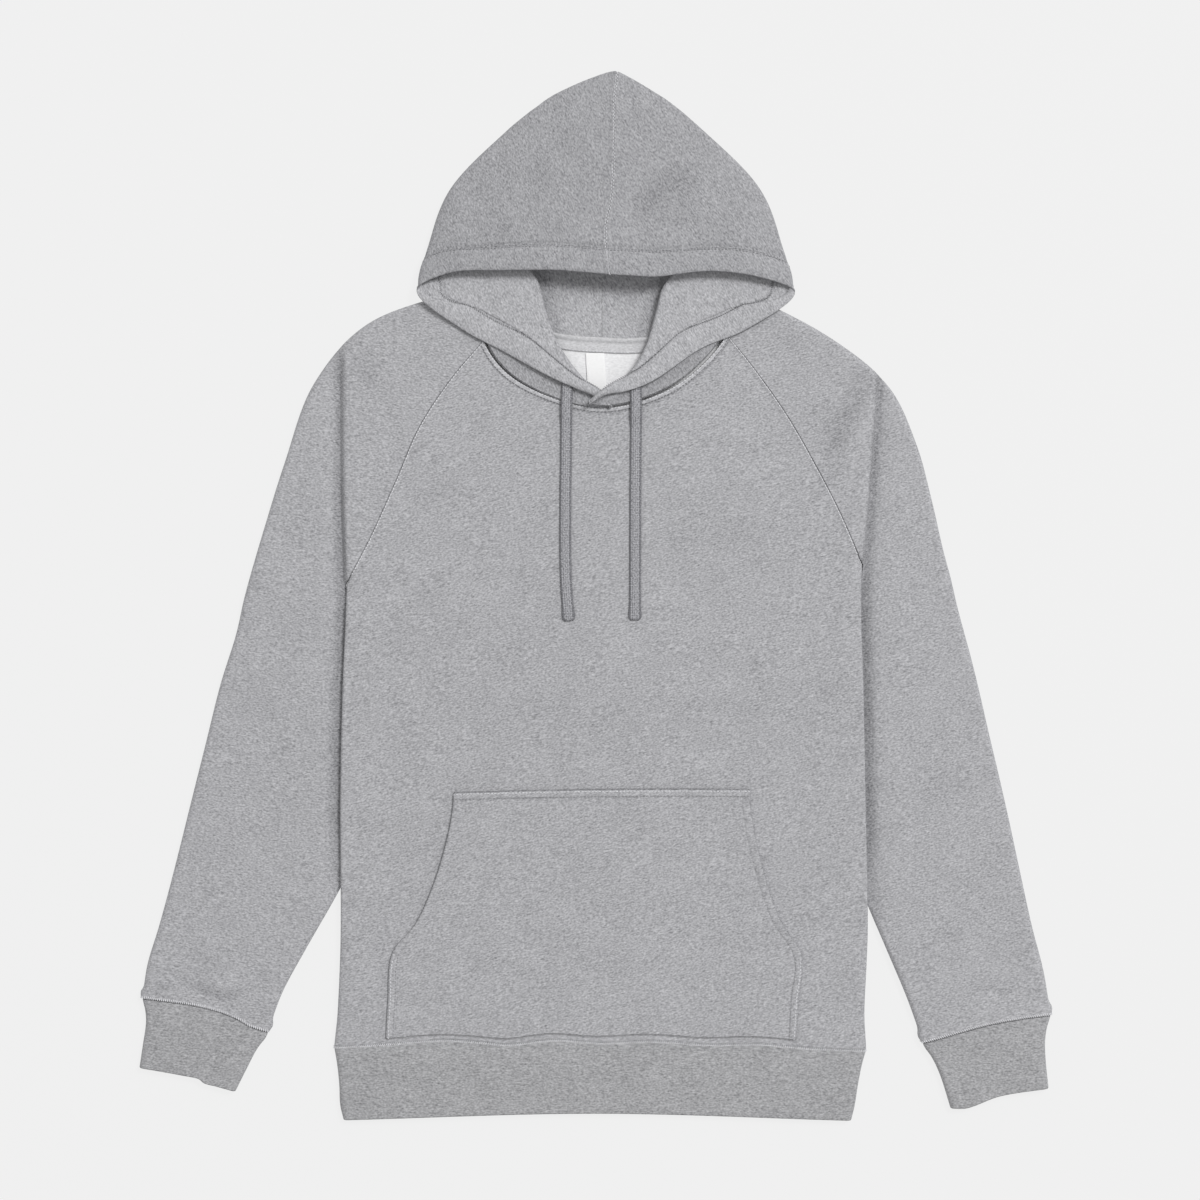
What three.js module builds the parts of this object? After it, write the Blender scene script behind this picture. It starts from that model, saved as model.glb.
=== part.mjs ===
// A pullover hoodie in heavy sweatshirt cloth, laid flat: arms beside the body, their inner folds tucked
// under it, and the hood spread above the neck. Sizes are in millimetres. +X is to the right of someone
// who looks down on it, +Y is towards the hood and +Z is up. It lies on z = 0, with the origin under
// the middle of the garment.
//
// Each piece is a wall of cloth. Its middle surface is a grid of points, worked out from the curves of
// its edges and from the heights at which the layers lie, and the wall is that grid moved half a
// thickness to each side.

import * as THREE from "three";

const { lerp, smoothstep } = THREE.MathUtils;

// Driving sizes
const CLOTH = 2; // thickness of one layer of sweatshirt cloth
const RIB = 2.6; // thickness of the folded rib of the cuffs and the hem band
const SEAM_INSET = 0.25; // each piece stops this far short of its seams
const GAP = 0.35; // clear height between a piece and what it lies on
const CORD_WIDTH = 10;
const CORD_THICKNESS = 2.2;
const TAPE_WIDTH = 11;
const LABEL_WIDTH = 18;
const LABEL_LENGTH = 42;
const TAPE_THICKNESS = 1.2;
const TAPE_INSET = 1.6; // its upper edge lies this far below the back neck seam
const LABEL_THICKNESS = 1;
const TOP_CROWN = 3; // how far the hood's top layer rounds up between its fold and its edge

// Heights of the middle of the layers
const LOW = CLOTH / 2; // a layer that lies on the surface
const HIGH = 9; // the front of the body and of the sleeves
const RIB_HIGH = 8.8; // the front of a cuff or of the hem band at its free end
const SIDE_SWELL = 2; // how much higher the front lies beside the body's edges
const PRESSED = 3.6; // the top layer of a sleeve where the body lies on it
const TUCK_LIFT = 5.4; // how far a tucked sleeve lifts the back of the body
const TUCK_CLEAR = 7; // the body stays lifted this far past the tucked sleeve,
const TUCK_SLOPE = 42; // and comes down over this width
const FOLD_REACH = 5; // a folded edge is rounded over about this width
const IN_FOLD = [0, 0.18 * FOLD_REACH, FOLD_REACH]; // places across the rounding of a fold
const FOLD_INSET = CLOTH / 2 + GAP / 2; // a closed fold's middle surface stops this far inside its edge

// The body's edges, which run on up the sleeves as a fold above the armholes: x at each height y
const BODY_EDGES = [
  { y: -427, left: -248.2, right: 258 },
  { y: -395, left: -245, right: 256.5 },
  { y: -320, left: -242, right: 259.4 },
  { y: -195, left: -242.3, right: 257.5 },
  { y: -95, left: -240.4, right: 255.6 },
  { y: 10, left: -236.5, right: 253.4 },
  { y: 100, left: -238.8, right: 260 },
  { y: 240, left: -239.5, right: 270 },
];

// Neckline of the front, from one shoulder point to the other. Points 2 and 8 are the ends of the
// raglan seams, and point 5 is the centre front.
const FRONT_NECK = [
  [-107.4, 297],
  [-109, 269],
  [-105.5, 242.3],
  [-87, 215],
  [-52, 193],
  [7, 178.3],
  [66, 194],
  [103, 221],
  [124.5, 248.9],
  [128.5, 273],
  [126.4, 297],
];

// Neckline of the back. Points 2 and 6 are the ends of the raglan seams, and point 4 the centre back.
const BACK_NECK = [
  [-107.4, 297],
  [-95, 277],
  [-76, 260],
  [-36, 248.3],
  [6.6, 244.2],
  [47, 244.5],
  [95, 258],
  [114, 277],
  [126.4, 297],
];

// Each sleeve's folds and seams. underarm and the first rows of outer are pairs of points across the
// sleeve, from the cuff to the armhole. raglanFront, raglanBack and the last rows of outer are the same
// from the armhole to the neck.
const SLEEVES = {
  left: {
    underarm: [
      [-310.7, -414],
      [-297, -377],
      [-276, -338],
      [-244, -282],
      [-213, -224],
      [-196, -165],
      [-198, -105],
      [-222, -52],
      [-238.5, -20],
      [-236.5, 10.5],
    ],
    outer: [
      [-430.4, -382],
      [-425.6, -350.6],
      [-414.2, -312.6],
      [-399, -255.6],
      [-384.8, -198.6],
      [-370.5, -141.6],
      [-356.3, -84.6],
      [-341.5, -37],
      [-334, -4],
      [-327, 22],
      [-312, 73],
      [-295, 127],
      [-268, 200.5],
      [-217.6, 257.5],
      [-107.4, 297],
    ],
    raglanFront: [
      [-236.5, 10.5],
      [-213, 56],
      [-190, 107],
      [-166.3, 161],
      [-136, 206.5],
      [-105.5, 242.3],
    ],
    raglanBack: [
      [-236.5, 10.5],
      [-210, 62],
      [-184, 122],
      [-157, 176],
      [-121, 222],
      [-76, 260],
    ],
  },
  right: {
    underarm: [
      [311.3, -424.4],
      [297, -384],
      [276, -334],
      [256, -287],
      [231, -222],
      [216, -156],
      [214, -90],
      [237, -34],
      [255.5, -2],
      [253.7, 29.5],
    ],
    outer: [
      [433.2, -398],
      [426.5, -357],
      [415.2, -312.6],
      [402.8, -255.6],
      [390.5, -198.6],
      [375.4, -134],
      [360, -68],
      [345, -12],
      [338, 18],
      [331, 44],
      [320, 92],
      [305.9, 143.5],
      [280, 198],
      [227, 243.2],
      [126.4, 297],
    ],
    raglanFront: [
      [253.7, 29.5],
      [233, 78],
      [209.4, 124],
      [183, 170],
      [154, 211.5],
      [124.5, 248.9],
    ],
    raglanBack: [
      [253.7, 29.5],
      [230, 86],
      [205, 136],
      [177, 184],
      [140, 226],
      [95, 258],
    ],
  },
};

// The folded edges of the ribbed tubes, from their free end to their seam
const HEM_BAND = {
  a: [
    [-239, -498],
    [-242.3, -484],
    [-243.2, -465],
    [-245.1, -446],
    [-248.2, -428],
  ],
  b: [
    [243.5, -498.5],
    [247, -484],
    [250, -465],
    [253.7, -446],
    [258, -431],
  ],
};
const CUFFS = {
  left: {
    a: [
      [-342, -471],
      [-331, -449],
      [-321, -430],
      [-313, -419.5],
      [-310.6, -414.2],
    ],
    b: [
      [-433.2, -448.4],
      [-430, -427],
      [-427, -406],
      [-427.5, -395],
      [-430.3, -382.3],
    ],
  },
  right: {
    a: [
      [338.2, -487],
      [328, -455],
      [320, -438],
      [313.5, -429],
      [311.3, -424.7],
    ],
    b: [
      [431.3, -468],
      [428.6, -442],
      [428, -424],
      [429.5, -411],
      [433.2, -398.3],
    ],
  },
};
const HEM_BOW = 6.5; // how far the hem curves up between its ends

// Pocket: its edges from the hem seam to the top
const POCKET = {
  left: [
    [-198.6, -421],
    [-196.7, -385],
    [-192.5, -339],
    [-171, -312],
    [-152, -270],
    [-137, -214],
    [-134, -186],
  ],
  right: [
    [191.2, -421],
    [193.4, -384],
    [196.4, -342],
    [176, -308],
    [158, -254],
    [148.6, -207],
    [146.7, -183],
  ],
};

// Drawcords: the middle of each free end, from under the edge of the hood to its cut end
const DRAWCORDS = {
  left: [
    [-25.8, 214],
    [-26.3, 200],
    [-26.8, 186],
    [-27.2, 160],
    [-27.6, 120],
    [-28, 80],
    [-28, 40],
    [-26.8, 5],
    [-24.6, -23.7],
  ],
  right: [
    [39.3, 205],
    [38.9, 196],
    [39.1, 184],
    [39, 160],
    [38.6, 120],
    [38.4, 80],
    [38.3, 40],
    [38.2, 5],
    [37.9, -23],
  ],
};

// Hood. Its centre seam runs up the back from the neck, round the tip, and down over the top to the
// middle of the face opening. Each half is folded four times over: the back layer reaches out from the
// seam to the turn, the collar layer comes in again from there to the roll, the side layer goes out to
// the fold at the garment's outline, and the top layer comes in to the edge of the face opening. Below
// the outline's corner there is no top layer, and the side layer ends at the edge.
const HOOD_AXIS = 9.7;
const SEAM_BACK = [
  [6.6, 246.5],
  [6.6, 290],
  [7.6, 340],
  [8.5, 385],
  [9.5, 424],
];
const SEAM_TOP = [
  [9.5, 424],
  [13, 462],
  [20.9, 497.5],
  [18.2, 467],
  [18.2, 429],
  [15.5, 377],
  [10, 346],
  [13.6, 303],
];
const SEAM_AT = [0, 0.1, 0.18, 2 / 7, 1]; // where the folds end on the top seam: the third at the tip
// The folds and the edge at sections along the half, from the neck (0) to the top seam (1): distances
// out from the axis, and heights in plan.
const FOLD_COLUMNS = ["at", "turnX", "turnY", "rollX", "rollY", "sideX", "sideY", "edgeX", "edgeY"];
const HOOD_FOLDS = {
  left: named(FOLD_COLUMNS, [
    [0, 114, 300, -5.7, 178.6, 1.9, 186, 8.6, 192],
    [0.07, 117, 304, 5.5, 194.8, 18, 196.5, 29, 198],
    [0.15, 118, 308, 22.5, 207, 39, 211, 54, 208.5],
    [0.3, 117.8, 317, 45.5, 239.5, 77, 247, 96, 231.5],
    [0.45, 113, 326, 57, 269, 115, 270, 137.5, 254],
    [0.6, 107, 333, 65.6, 300, 173, 288, 178.5, 288],
    [0.7, 99, 342, 86, 331, 166.3, 335, 146, 305.5],
    [0.8, 82, 352, 101, 355, 142.5, 392, 98, 307.3],
    [0.9, 48, 385, 66, 405, 77, 457, 47.5, 307.5],
  ]),
  right: named(FOLD_COLUMNS, [
    [0, 114, 300, -17, 181.5, -9.5, 188.5, -2.8, 194.5],
    [0.07, 117, 304, 3, 197.5, 12, 196, 20, 194.5],
    [0.15, 118, 308, 21.5, 209.5, 34, 208, 46.5, 204.5],
    [0.3, 117.8, 317, 39, 236, 72, 249, 90, 234],
    [0.45, 113, 326, 49.5, 271, 113, 271, 135, 253.5],
    [0.6, 107, 333, 58, 297, 173.5, 287, 179.5, 286],
    [0.7, 99, 342, 86, 331, 166.3, 335, 148, 300.5],
    [0.8, 82, 352, 101, 355, 142.5, 392, 100, 306.4],
    [0.9, 48, 385, 66, 405, 77, 457, 46.5, 300.5],
  ]),
};
// Heights of the layers at the same sections, at their inner and outer ends
const HOOD_HEIGHTS = named(
  ["at", "back", "collarTurn", "collarRoll", "sideRoll", "sideFold", "topFold", "topEdge"],
  [
    [0, 3.4, 11.4, 11.4, 14, 14, 14, 14],
    [0.07, 2, 11.3, 11.4, 16.4, 16.4, 16.4, 16.4],
    [0.15, 1, 11, 11.4, 16.4, 16.4, 16.4, 16.2],
    [0.3, 1, 10, 11.2, 15, 14.4, 14.4, 13.6],
    [0.45, 1, 8.5, 10.5, 14.5, 13.8, 13.8, 12.8],
    [0.6, 1, 7.5, 9.5, 13.5, 12.2, 15, 17],
    [0.7, 1, 6, 8, 11.5, 5, 12, 22],
    [0.8, 1, 3.5, 5, 7, 2, 9, 26],
    [0.9, 1, 1.5, 2.5, 3, 1.3, 7, 28],
    [1, 1, 1, 1, 1, 1, 5.5, 29],
  ],
);
const HOOD_COUNTS = [3, 3, 3, 3]; // spans across each layer, between its folds
const HOOD_ENDS = [IN_FOLD, [...IN_FOLD, 14, 21, 31], IN_FOLD, [0]]; // places at the end of each layer
const LAP_LIFT = 6.8; // the right half lies this much higher where it laps over the left one,
const LAP_EDGE = [6, 22]; // and comes down between these distances out from the axis
const LAP_FADE = [0.08, 0.15]; // and between these sections
const NECK_FADE = 0.3; // the neckline's bow fades out up to this section
const CROWN_FADE = [0.6, 0.8]; // the top layer swells up between these,
const TOP_FADE = [0.88, 1]; // and the folds come together on the top seam between these
const TIP_SWELL = { left: 6.2, right: 2.8 }; // how far the outline swells out beside the tip
const COLLAR_RISE = [0.6, 0.85]; // shares of the collar layer's width between which it rises to the roll

/** The rows of a table as objects, with each value under its column's name. */
function named(columns, rows) {
  return rows.map((row) => Object.fromEntries(columns.map((name, k) => [name, row[k]])));
}

const vec = (x, y, z = 0) => new THREE.Vector3(x, y, z);

/** A smooth curve in plan through points x, y. Its parameter counts the points evenly. */
function curve(points) {
  const through = points.map(([x, y]) => vec(x, y));
  return new THREE.CatmullRomCurve3(through, false, "centripetal");
}

/** The named column of a table at place t of its column along, smoothly between its rows. */
function read(table, along, name, t) {
  const last = table.length - 1;
  let k = 0;
  while (k < last - 1 && t > table[k + 1][along]) k += 1;
  const a = table[k];
  const b = table[k + 1];
  const slope = (i) => {
    const before = table[Math.max(i - 1, 0)];
    const after = table[Math.min(i + 1, last)];
    return (after[name] - before[name]) / (after[along] - before[along]);
  };
  const span = b[along] - a[along];
  const s = Math.min(Math.max((t - a[along]) / span, 0), 1);
  const rise = s * s * (3 - 2 * s);
  return (
    lerp(a[name], b[name], rise) +
    span * (s * (1 - s) ** 2 * slope(k) - s * s * (1 - s) * slope(k + 1))
  );
}

/**
 * A closed wall of cloth. grid[j][i] are points on its middle surface, moved half the thickness to each
 * side. A ring closes on itself along i. The open edges are drawn in by SEAM_INSET.
 */
function wall(grid, thickness, ring = false) {
  const rows = grid.length;
  const cols = grid[0].length;
  const across = (i) => (ring ? (i + cols) % cols : Math.min(Math.max(i, 0), cols - 1));
  const along = (j) => Math.min(Math.max(j, 0), rows - 1);
  const at = (j, i) => grid[along(j)][across(i)];

  const drawnIn = (j, i) => {
    const p = at(j, i).clone();
    const pull = (q) => p.add(q.clone().sub(at(j, i)).setLength(SEAM_INSET));
    if (j === 0) pull(at(1, i));
    if (j === rows - 1) pull(at(rows - 2, i));
    if (!ring && i === 0) pull(at(j, 1));
    if (!ring && i === cols - 1) pull(at(j, cols - 2));
    return p;
  };

  const positions = [];
  for (const side of [1, -1]) {
    for (let j = 0; j < rows; j += 1) {
      for (let i = 0; i < cols; i += 1) {
        const du = at(j, i + 1).clone().sub(at(j, i - 1));
        const dv = at(j + 1, i).clone().sub(at(j - 1, i));
        const p = drawnIn(j, i).add(du.cross(dv).setLength((side * thickness) / 2));
        positions.push(p.x, p.y, Math.max(p.z, 0));
      }
    }
  }

  const top = (j, i) => j * cols + across(i);
  const under = (j, i) => rows * cols + top(j, i);
  const faces = [];
  const quad = (a, b, c, d) => faces.push(a, b, c, a, c, d);
  const spans = ring ? cols : cols - 1;
  for (let i = 0; i < spans; i += 1) {
    for (let j = 0; j < rows - 1; j += 1) {
      quad(top(j, i), top(j, i + 1), top(j + 1, i + 1), top(j + 1, i));
      quad(under(j, i), under(j + 1, i), under(j + 1, i + 1), under(j, i + 1));
    }
    const end = rows - 1;
    quad(top(0, i + 1), top(0, i), under(0, i), under(0, i + 1));
    quad(top(end, i), top(end, i + 1), under(end, i + 1), under(end, i));
  }
  if (!ring) {
    const end = cols - 1;
    for (let j = 0; j < rows - 1; j += 1) {
      quad(top(j, 0), top(j + 1, 0), under(j + 1, 0), under(j, 0));
      quad(top(j + 1, end), top(j, end), under(j, end), under(j + 1, end));
    }
  }
  const geometry = new THREE.BufferGeometry();
  geometry.setAttribute("position", new THREE.Float32BufferAttribute(positions, 3));
  geometry.setIndex(faces);
  return geometry;
}

/** Places along a layer: those given from its start and from its end, with even spans between them. */
function steps(width, count, start = IN_FOLD, end = IN_FOLD) {
  const fit = Math.min(1, width / (start.at(-1) + end.at(-1)) / 2);
  const places = start.map((d) => d * fit);
  const last = end.map((d) => width - d * fit).reverse();
  const from = places.at(-1);
  for (let k = 1; k < count; k += 1) places.push(lerp(from, last[0], k / count));
  return [...places, ...last];
}

/** How far a folded layer has turned from the fold's middle height to its own, at a distance from it. */
function turned(distance, radius) {
  const t = radius > 0 ? Math.min(Math.max(distance / radius, 0), 1) : 1;
  return Math.sqrt(1 - (1 - t) ** 2);
}

// Heights of the layers over the plan

const sides = { left: -1, right: 1 };
const edgeX = (side, y) => read(BODY_EDGES, "y", side, y);
const armhole = (side) => SLEEVES[side].raglanFront[0];

const underarms = {
  left: SLEEVES.left.underarm.map(([x, y]) => ({ x, y })),
  right: SLEEVES.right.underarm.map(([x, y]) => ({ x, y })),
};
const underarmX = (side, y) => read(underarms[side], "y", "x", y);

/** 1 where the body lies on the tucked part of a sleeve, and 0 away from it. */
function overSleeve(side, x, y) {
  const inward = sides[side] * (underarmX(side, y) - x);
  const [, top] = armhole(side);
  const exit = underarms[side][3].y;
  return (
    (1 - smoothstep(inward, TUCK_CLEAR, TUCK_CLEAR + TUCK_SLOPE)) *
    (1 - smoothstep(y, top - 26, top - 2)) *
    smoothstep(y, exit - 60, exit - 12)
  );
}

function bodyLow(x, y) {
  return LOW + TUCK_LIFT * Math.max(overSleeve("left", x, y), overSleeve("right", x, y));
}

function bodyHigh(x, y) {
  const inside = Math.min(x - edgeX("left", y), edgeX("right", y) - x);
  const swell = (1 - smoothstep(inside, 8, 60)) * smoothstep(y, -420, -330);
  return HIGH + SIDE_SWELL * swell;
}

/** The top layer of a sleeve: a trough beside the body's edge, and inside it the body's height. */
function sleeveHigh(side, x, y) {
  const outside = sides[side] * (x - edgeX(side, y));
  const [, top] = armhole(side);
  const above = smoothstep(y, top - 26, top);
  const shoulder = smoothstep(y, 200, 250);
  const inner = lerp(PRESSED, bodyHigh(x, y), above);
  const trough = lerp(HIGH - PRESSED, 3.2, above) * (1 - shoulder);
  const outer = HIGH - trough * Math.exp(-Math.max(outside, 0) / 16);
  return lerp(inner, outer, smoothstep(outside, 0, 7));
}

// The front and back of the body

const ROWS_BELOW = 10;
const ROWS_ABOVE = 8;

/** Places across a body panel: some lie where it comes down from the tucked sleeves. */
function bodySteps(y, width, count) {
  const [start, end] = ["left", "right"].map((side) => {
    const tucked = sides[side] * (edgeX(side, y) - underarmX(side, y));
    const clear = Math.max(tucked, 0) + TUCK_CLEAR;
    return [...IN_FOLD, clear, clear + TUCK_SLOPE / 2, clear + TUCK_SLOPE];
  });
  return steps(width, count, start, end);
}

/** A body panel from the hem seam to its neckline, between its side and raglan seams. */
function bodyPanel(raglan, neck, neckFrom, neckTo, level, other, count) {
  const rise = {};
  for (const side of ["left", "right"]) rise[side] = curve(SLEEVES[side][raglan]);
  const [hemLeft, hemRight] = [HEM_BAND.a.at(-1), HEM_BAND.b.at(-1)];
  const edgePoint = (side, hem, row) => {
    if (row >= ROWS_BELOW) return rise[side].getPoint((row - ROWS_BELOW) / ROWS_ABOVE);
    const y = lerp(hem[1], armhole(side)[1], row / ROWS_BELOW);
    return vec(edgeX(side, y), y);
  };
  const neckCurve = curve(neck);
  const grid = [];
  for (let row = 0; row <= ROWS_BELOW + ROWS_ABOVE; row += 1) {
    const above = Math.max(row - ROWS_BELOW, 0) / ROWS_ABOVE;
    const below = 1 - Math.min(row / ROWS_BELOW, 1);
    const closed = 1 - smoothstep(above, 0, 0.2);
    const left = edgePoint("left", hemLeft, row);
    const right = edgePoint("right", hemRight, row);
    const inset = Math.sqrt(closed) * FOLD_INSET;
    const width = left.distanceTo(right) - 2 * inset;
    grid.push(
      bodySteps((left.y + right.y) / 2, width, count).map((d) => {
        const s = (d + inset) / (width + 2 * inset);
        const p = left.clone().lerp(right, s);
        const neckPoint = neckCurve.getPoint(lerp(neckFrom, neckTo, s));
        const topStraight = rise.left.getPoint(1).lerp(rise.right.getPoint(1), s);
        p.addScaledVector(neckPoint.sub(topStraight), above ** 2);
        p.y += HEM_BOW * 4 * s * (1 - s) * below ** 2;
        const near = Math.min(d, width - d);
        const high = level(p.x, p.y);
        const middle = (high + other(p.x, p.y)) / 2;
        const radius = Math.abs(high - middle);
        const seam = middle + Math.sign(high - middle) * GAP;
        p.z = lerp(high, lerp(seam, high, turned(near, radius)), closed);
        return p;
      }),
    );
  }
  return wall(grid, CLOTH);
}

const frontPanel = bodyPanel("raglanFront", FRONT_NECK, 0.2, 0.8, bodyHigh, bodyLow, 6);
const backPanel = bodyPanel("raglanBack", BACK_NECK, 0.25, 0.75, bodyLow, bodyHigh, 4);

// The sleeves

const SLEEVE_ROWS_BELOW = 13;
const SLEEVE_COUNT = 3;
const TROUGH_PLACES = [0, 7, 20, 45]; // distances out from the body's edge

/** Places across the top layer of a sleeve: some lie beside the body's edge, where its trough is. */
function sleeveSteps(side, start, end, width) {
  const outside = (p) => sides[side] * (p.x - edgeX(side, p.y));
  const [from, to] = [outside(start), outside(end)];
  const room = width - 2 * FOLD_REACH;
  const crossing = (-from / (to - from)) * width - FOLD_REACH;
  const edge = Math.min(Math.max(crossing, 0.05 * room), 0.8 * room);
  const rest = room - edge;
  const trough = TROUGH_PLACES.map((d, k) => Math.min(d, (k / TROUGH_PLACES.length) * rest));
  return [
    ...IN_FOLD,
    ...trough.map((d) => FOLD_REACH + edge + d),
    ...IN_FOLD.map((d) => width - d).reverse(),
  ];
}

/** A raglan sleeve, from its underarm seam over the front, round the outer fold and back beneath. */
function sleeve(side) {
  const { underarm, outer, raglanFront, raglanBack } = SLEEVES[side];
  const [inner, front, back, far] = [underarm, raglanFront, raglanBack, outer].map(curve);
  const neckFront = curve(FRONT_NECK);
  const neckBack = curve(BACK_NECK);
  const split = (underarm.length - 1) / (outer.length - 1);
  const shoulder = side === "left" ? 0 : 1;
  const [cornerFront, cornerBack] = side === "left" ? [0.2, 0.25] : [0.8, 0.75];
  const top = (x, y) => sleeveHigh(side, x, y);
  const bottom = () => LOW;
  const grid = [];
  for (let row = 0; row <= SLEEVE_ROWS_BELOW + ROWS_ABOVE; row += 1) {
    const below = Math.min(row / SLEEVE_ROWS_BELOW, 1);
    const above = Math.max(row - SLEEVE_ROWS_BELOW, 0) / ROWS_ABOVE;
    const closed = 1 - smoothstep(above, 0, 0.2);
    const inset = Math.sqrt(closed) * FOLD_INSET;
    const end = far.getPoint(above > 0 ? lerp(split, 1, above) : below * split);
    const layer = (start, level, other, neckCurve, corner, places) => {
      const whole = start.distanceTo(end);
      const width = whole - CLOTH / 2 - inset;
      return places(start, width).map((d) => {
        const s = (d + inset) / whole;
        const p = start.clone().lerp(end, s);
        if (above > 0) {
          const straight = neckCurve.getPoint(corner).lerp(neckCurve.getPoint(shoulder), s);
          const onNeck = neckCurve.getPoint(lerp(corner, shoulder, s));
          p.addScaledVector(onNeck.sub(straight), above ** 4);
        }
        const high = level(p.x, p.y);
        const middle = (high + other(p.x, p.y)) / 2;
        const radius = Math.abs(high - middle);
        const seam = middle + Math.sign(high - middle) * GAP;
        const atSeam = lerp(high, lerp(seam, high, turned(d, radius)), closed);
        p.z = lerp(middle, atSeam, turned(width - d, radius));
        return p;
      });
    };
    const startFront = above > 0 ? front.getPoint(above) : inner.getPoint(below);
    const startBack = above > 0 ? back.getPoint(above) : startFront;
    const upper = layer(startFront, top, bottom, neckFront, cornerFront, (start, width) =>
      sleeveSteps(side, start, end, width),
    );
    const lower = layer(startBack, bottom, top, neckBack, cornerBack, (start, width) =>
      steps(width, SLEEVE_COUNT),
    );
    grid.push([...upper, ...lower.reverse().slice(1)]);
  }
  return wall(grid, CLOTH);
}

// The ribbed tubes

const TUBE_ROWS = 4;

/** A flattened tube between the folded edges a and b, from its free end to its seam. */
function ribbedTube({ a, b }, bow, count) {
  const [from, to] = [a, b].map(curve);
  const grid = [];
  for (let row = 0; row <= TUBE_ROWS; row += 1) {
    const t = row / TUBE_ROWS;
    const start = from.getPoint(t);
    const end = to.getPoint(t);
    const inset = RIB / 2;
    const width = start.distanceTo(end) - 2 * inset;
    const high = lerp(RIB_HIGH, HIGH, t);
    const low = RIB / 2;
    const layer = (level) =>
      steps(width, count).map((d) => {
        const s = (d + inset) / (width + 2 * inset);
        const p = start.clone().lerp(end, s);
        p.y += bow * 4 * s * (1 - s);
        const radius = (high - low) / 2;
        const near = Math.min(d, width - d);
        p.z = lerp((high + low) / 2, level, turned(near, radius));
        return p;
      });
    grid.push([...layer(high), ...layer(low).reverse().slice(1, -1)]);
  }
  return wall(grid, RIB, true);
}

// What lies on the body

const POCKET_ROWS = 9;
const POCKET_COLUMNS = 8;
const CORD_ROWS = 18;
const COLLAR_EDGE = 173; // the drawcords come down from the collar layer of the hood before this y,
const CORD_DESCENT = 14; // over this length
const ON_TOP = CLOTH + GAP; // from the middle of one layer to the middle of the one that lies on it

/** The kangaroo pocket, lifted from the front panel's own heights. */
function pocket() {
  const [left, right] = [POCKET.left, POCKET.right].map(curve);
  const grid = [];
  for (let row = 0; row <= POCKET_ROWS; row += 1) {
    const start = left.getPoint(row / POCKET_ROWS);
    const end = right.getPoint(row / POCKET_ROWS);
    const line = [];
    for (let k = 0; k <= POCKET_COLUMNS; k += 1) {
      const p = start.clone().lerp(end, k / POCKET_COLUMNS);
      p.z = bodyHigh(p.x, p.y) + ON_TOP;
      line.push(p);
    }
    grid.push(line);
  }
  return wall(grid, CLOTH);
}

/** A thin strip on the inside of the back, from its two long edges in plan. */
function insideStrip(upper, lower, count, thickness) {
  const height = LOW + CLOTH / 2 + GAP + thickness / 2;
  const grid = [lower, upper].map((edge) => {
    const line = [];
    for (let k = 0; k <= count; k += 1) {
      line.push(edge(k / count).setZ(height));
    }
    return line;
  });
  return wall(grid, thickness);
}

const TAPE_SPAN = [0.27, 0.73]; // the part of the back neck that the tape covers
const TAPE_TAPER = 0.01;
const TAPE_COUNT = 10;

/** The tape over the back neck seam, which follows the seam's curve. */
function neckTape() {
  const neck = curve(BACK_NECK);
  const [from, to] = TAPE_SPAN;
  const upper = (s) => neck.getPoint(lerp(from, to, s)).add(vec(0, -TAPE_INSET));
  const lower = (s) =>
    neck.getPoint(lerp(from + TAPE_TAPER, to - TAPE_TAPER, s)).add(vec(0, -TAPE_INSET - TAPE_WIDTH));
  return insideStrip(upper, lower, TAPE_COUNT, TAPE_THICKNESS);
}

const BACK_NECK_LOW = 244.3; // y of the lowest point of the back neck
const LABEL_LEFT = -9; // x of the label's left edge, at its top
const LABEL_SLANT = 2.5; // and how far it has gone to the right at its bottom

/** The woven label, which hangs from the tape's lower edge. */
function neckLabel() {
  const top = BACK_NECK_LOW - TAPE_INSET - TAPE_WIDTH - GAP;
  const upper = (s) => vec(LABEL_LEFT + s * LABEL_WIDTH, top);
  const lower = (s) => vec(LABEL_LEFT + LABEL_SLANT + s * LABEL_WIDTH, top - LABEL_LENGTH);
  return insideStrip(upper, lower, 1, LABEL_THICKNESS);
}

/** A flat drawcord along its route over the front of the body. */
function drawcord(route) {
  const path = curve(route);
  const grid = [];
  for (let row = 0; row <= CORD_ROWS; row += 1) {
    const t = row / CORD_ROWS;
    const p = path.getPoint(t);
    const across = path.getTangent(t).cross(vec(0, 0, 1));
    const onCollar = ON_TOP * smoothstep(p.y, COLLAR_EDGE - CORD_DESCENT, COLLAR_EDGE);
    const height = bodyHigh(p.x, p.y) + (CLOTH + CORD_THICKNESS) / 2 + GAP + onCollar;
    grid.push(
      [-1, 0, 1].map((s) =>
        p
          .clone()
          .addScaledVector(across, (s * CORD_WIDTH) / 2)
          .setZ(height),
      ),
    );
  }
  return wall(grid, CORD_THICKNESS);
}

// The hood

const HOOD_ROWS = 14;
const NECK_MIDDLE = 7; // x of the lowest point of the front neck
const NECK_SPAN = 590; // how far the front neck would span if it kept its slope at that point

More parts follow.
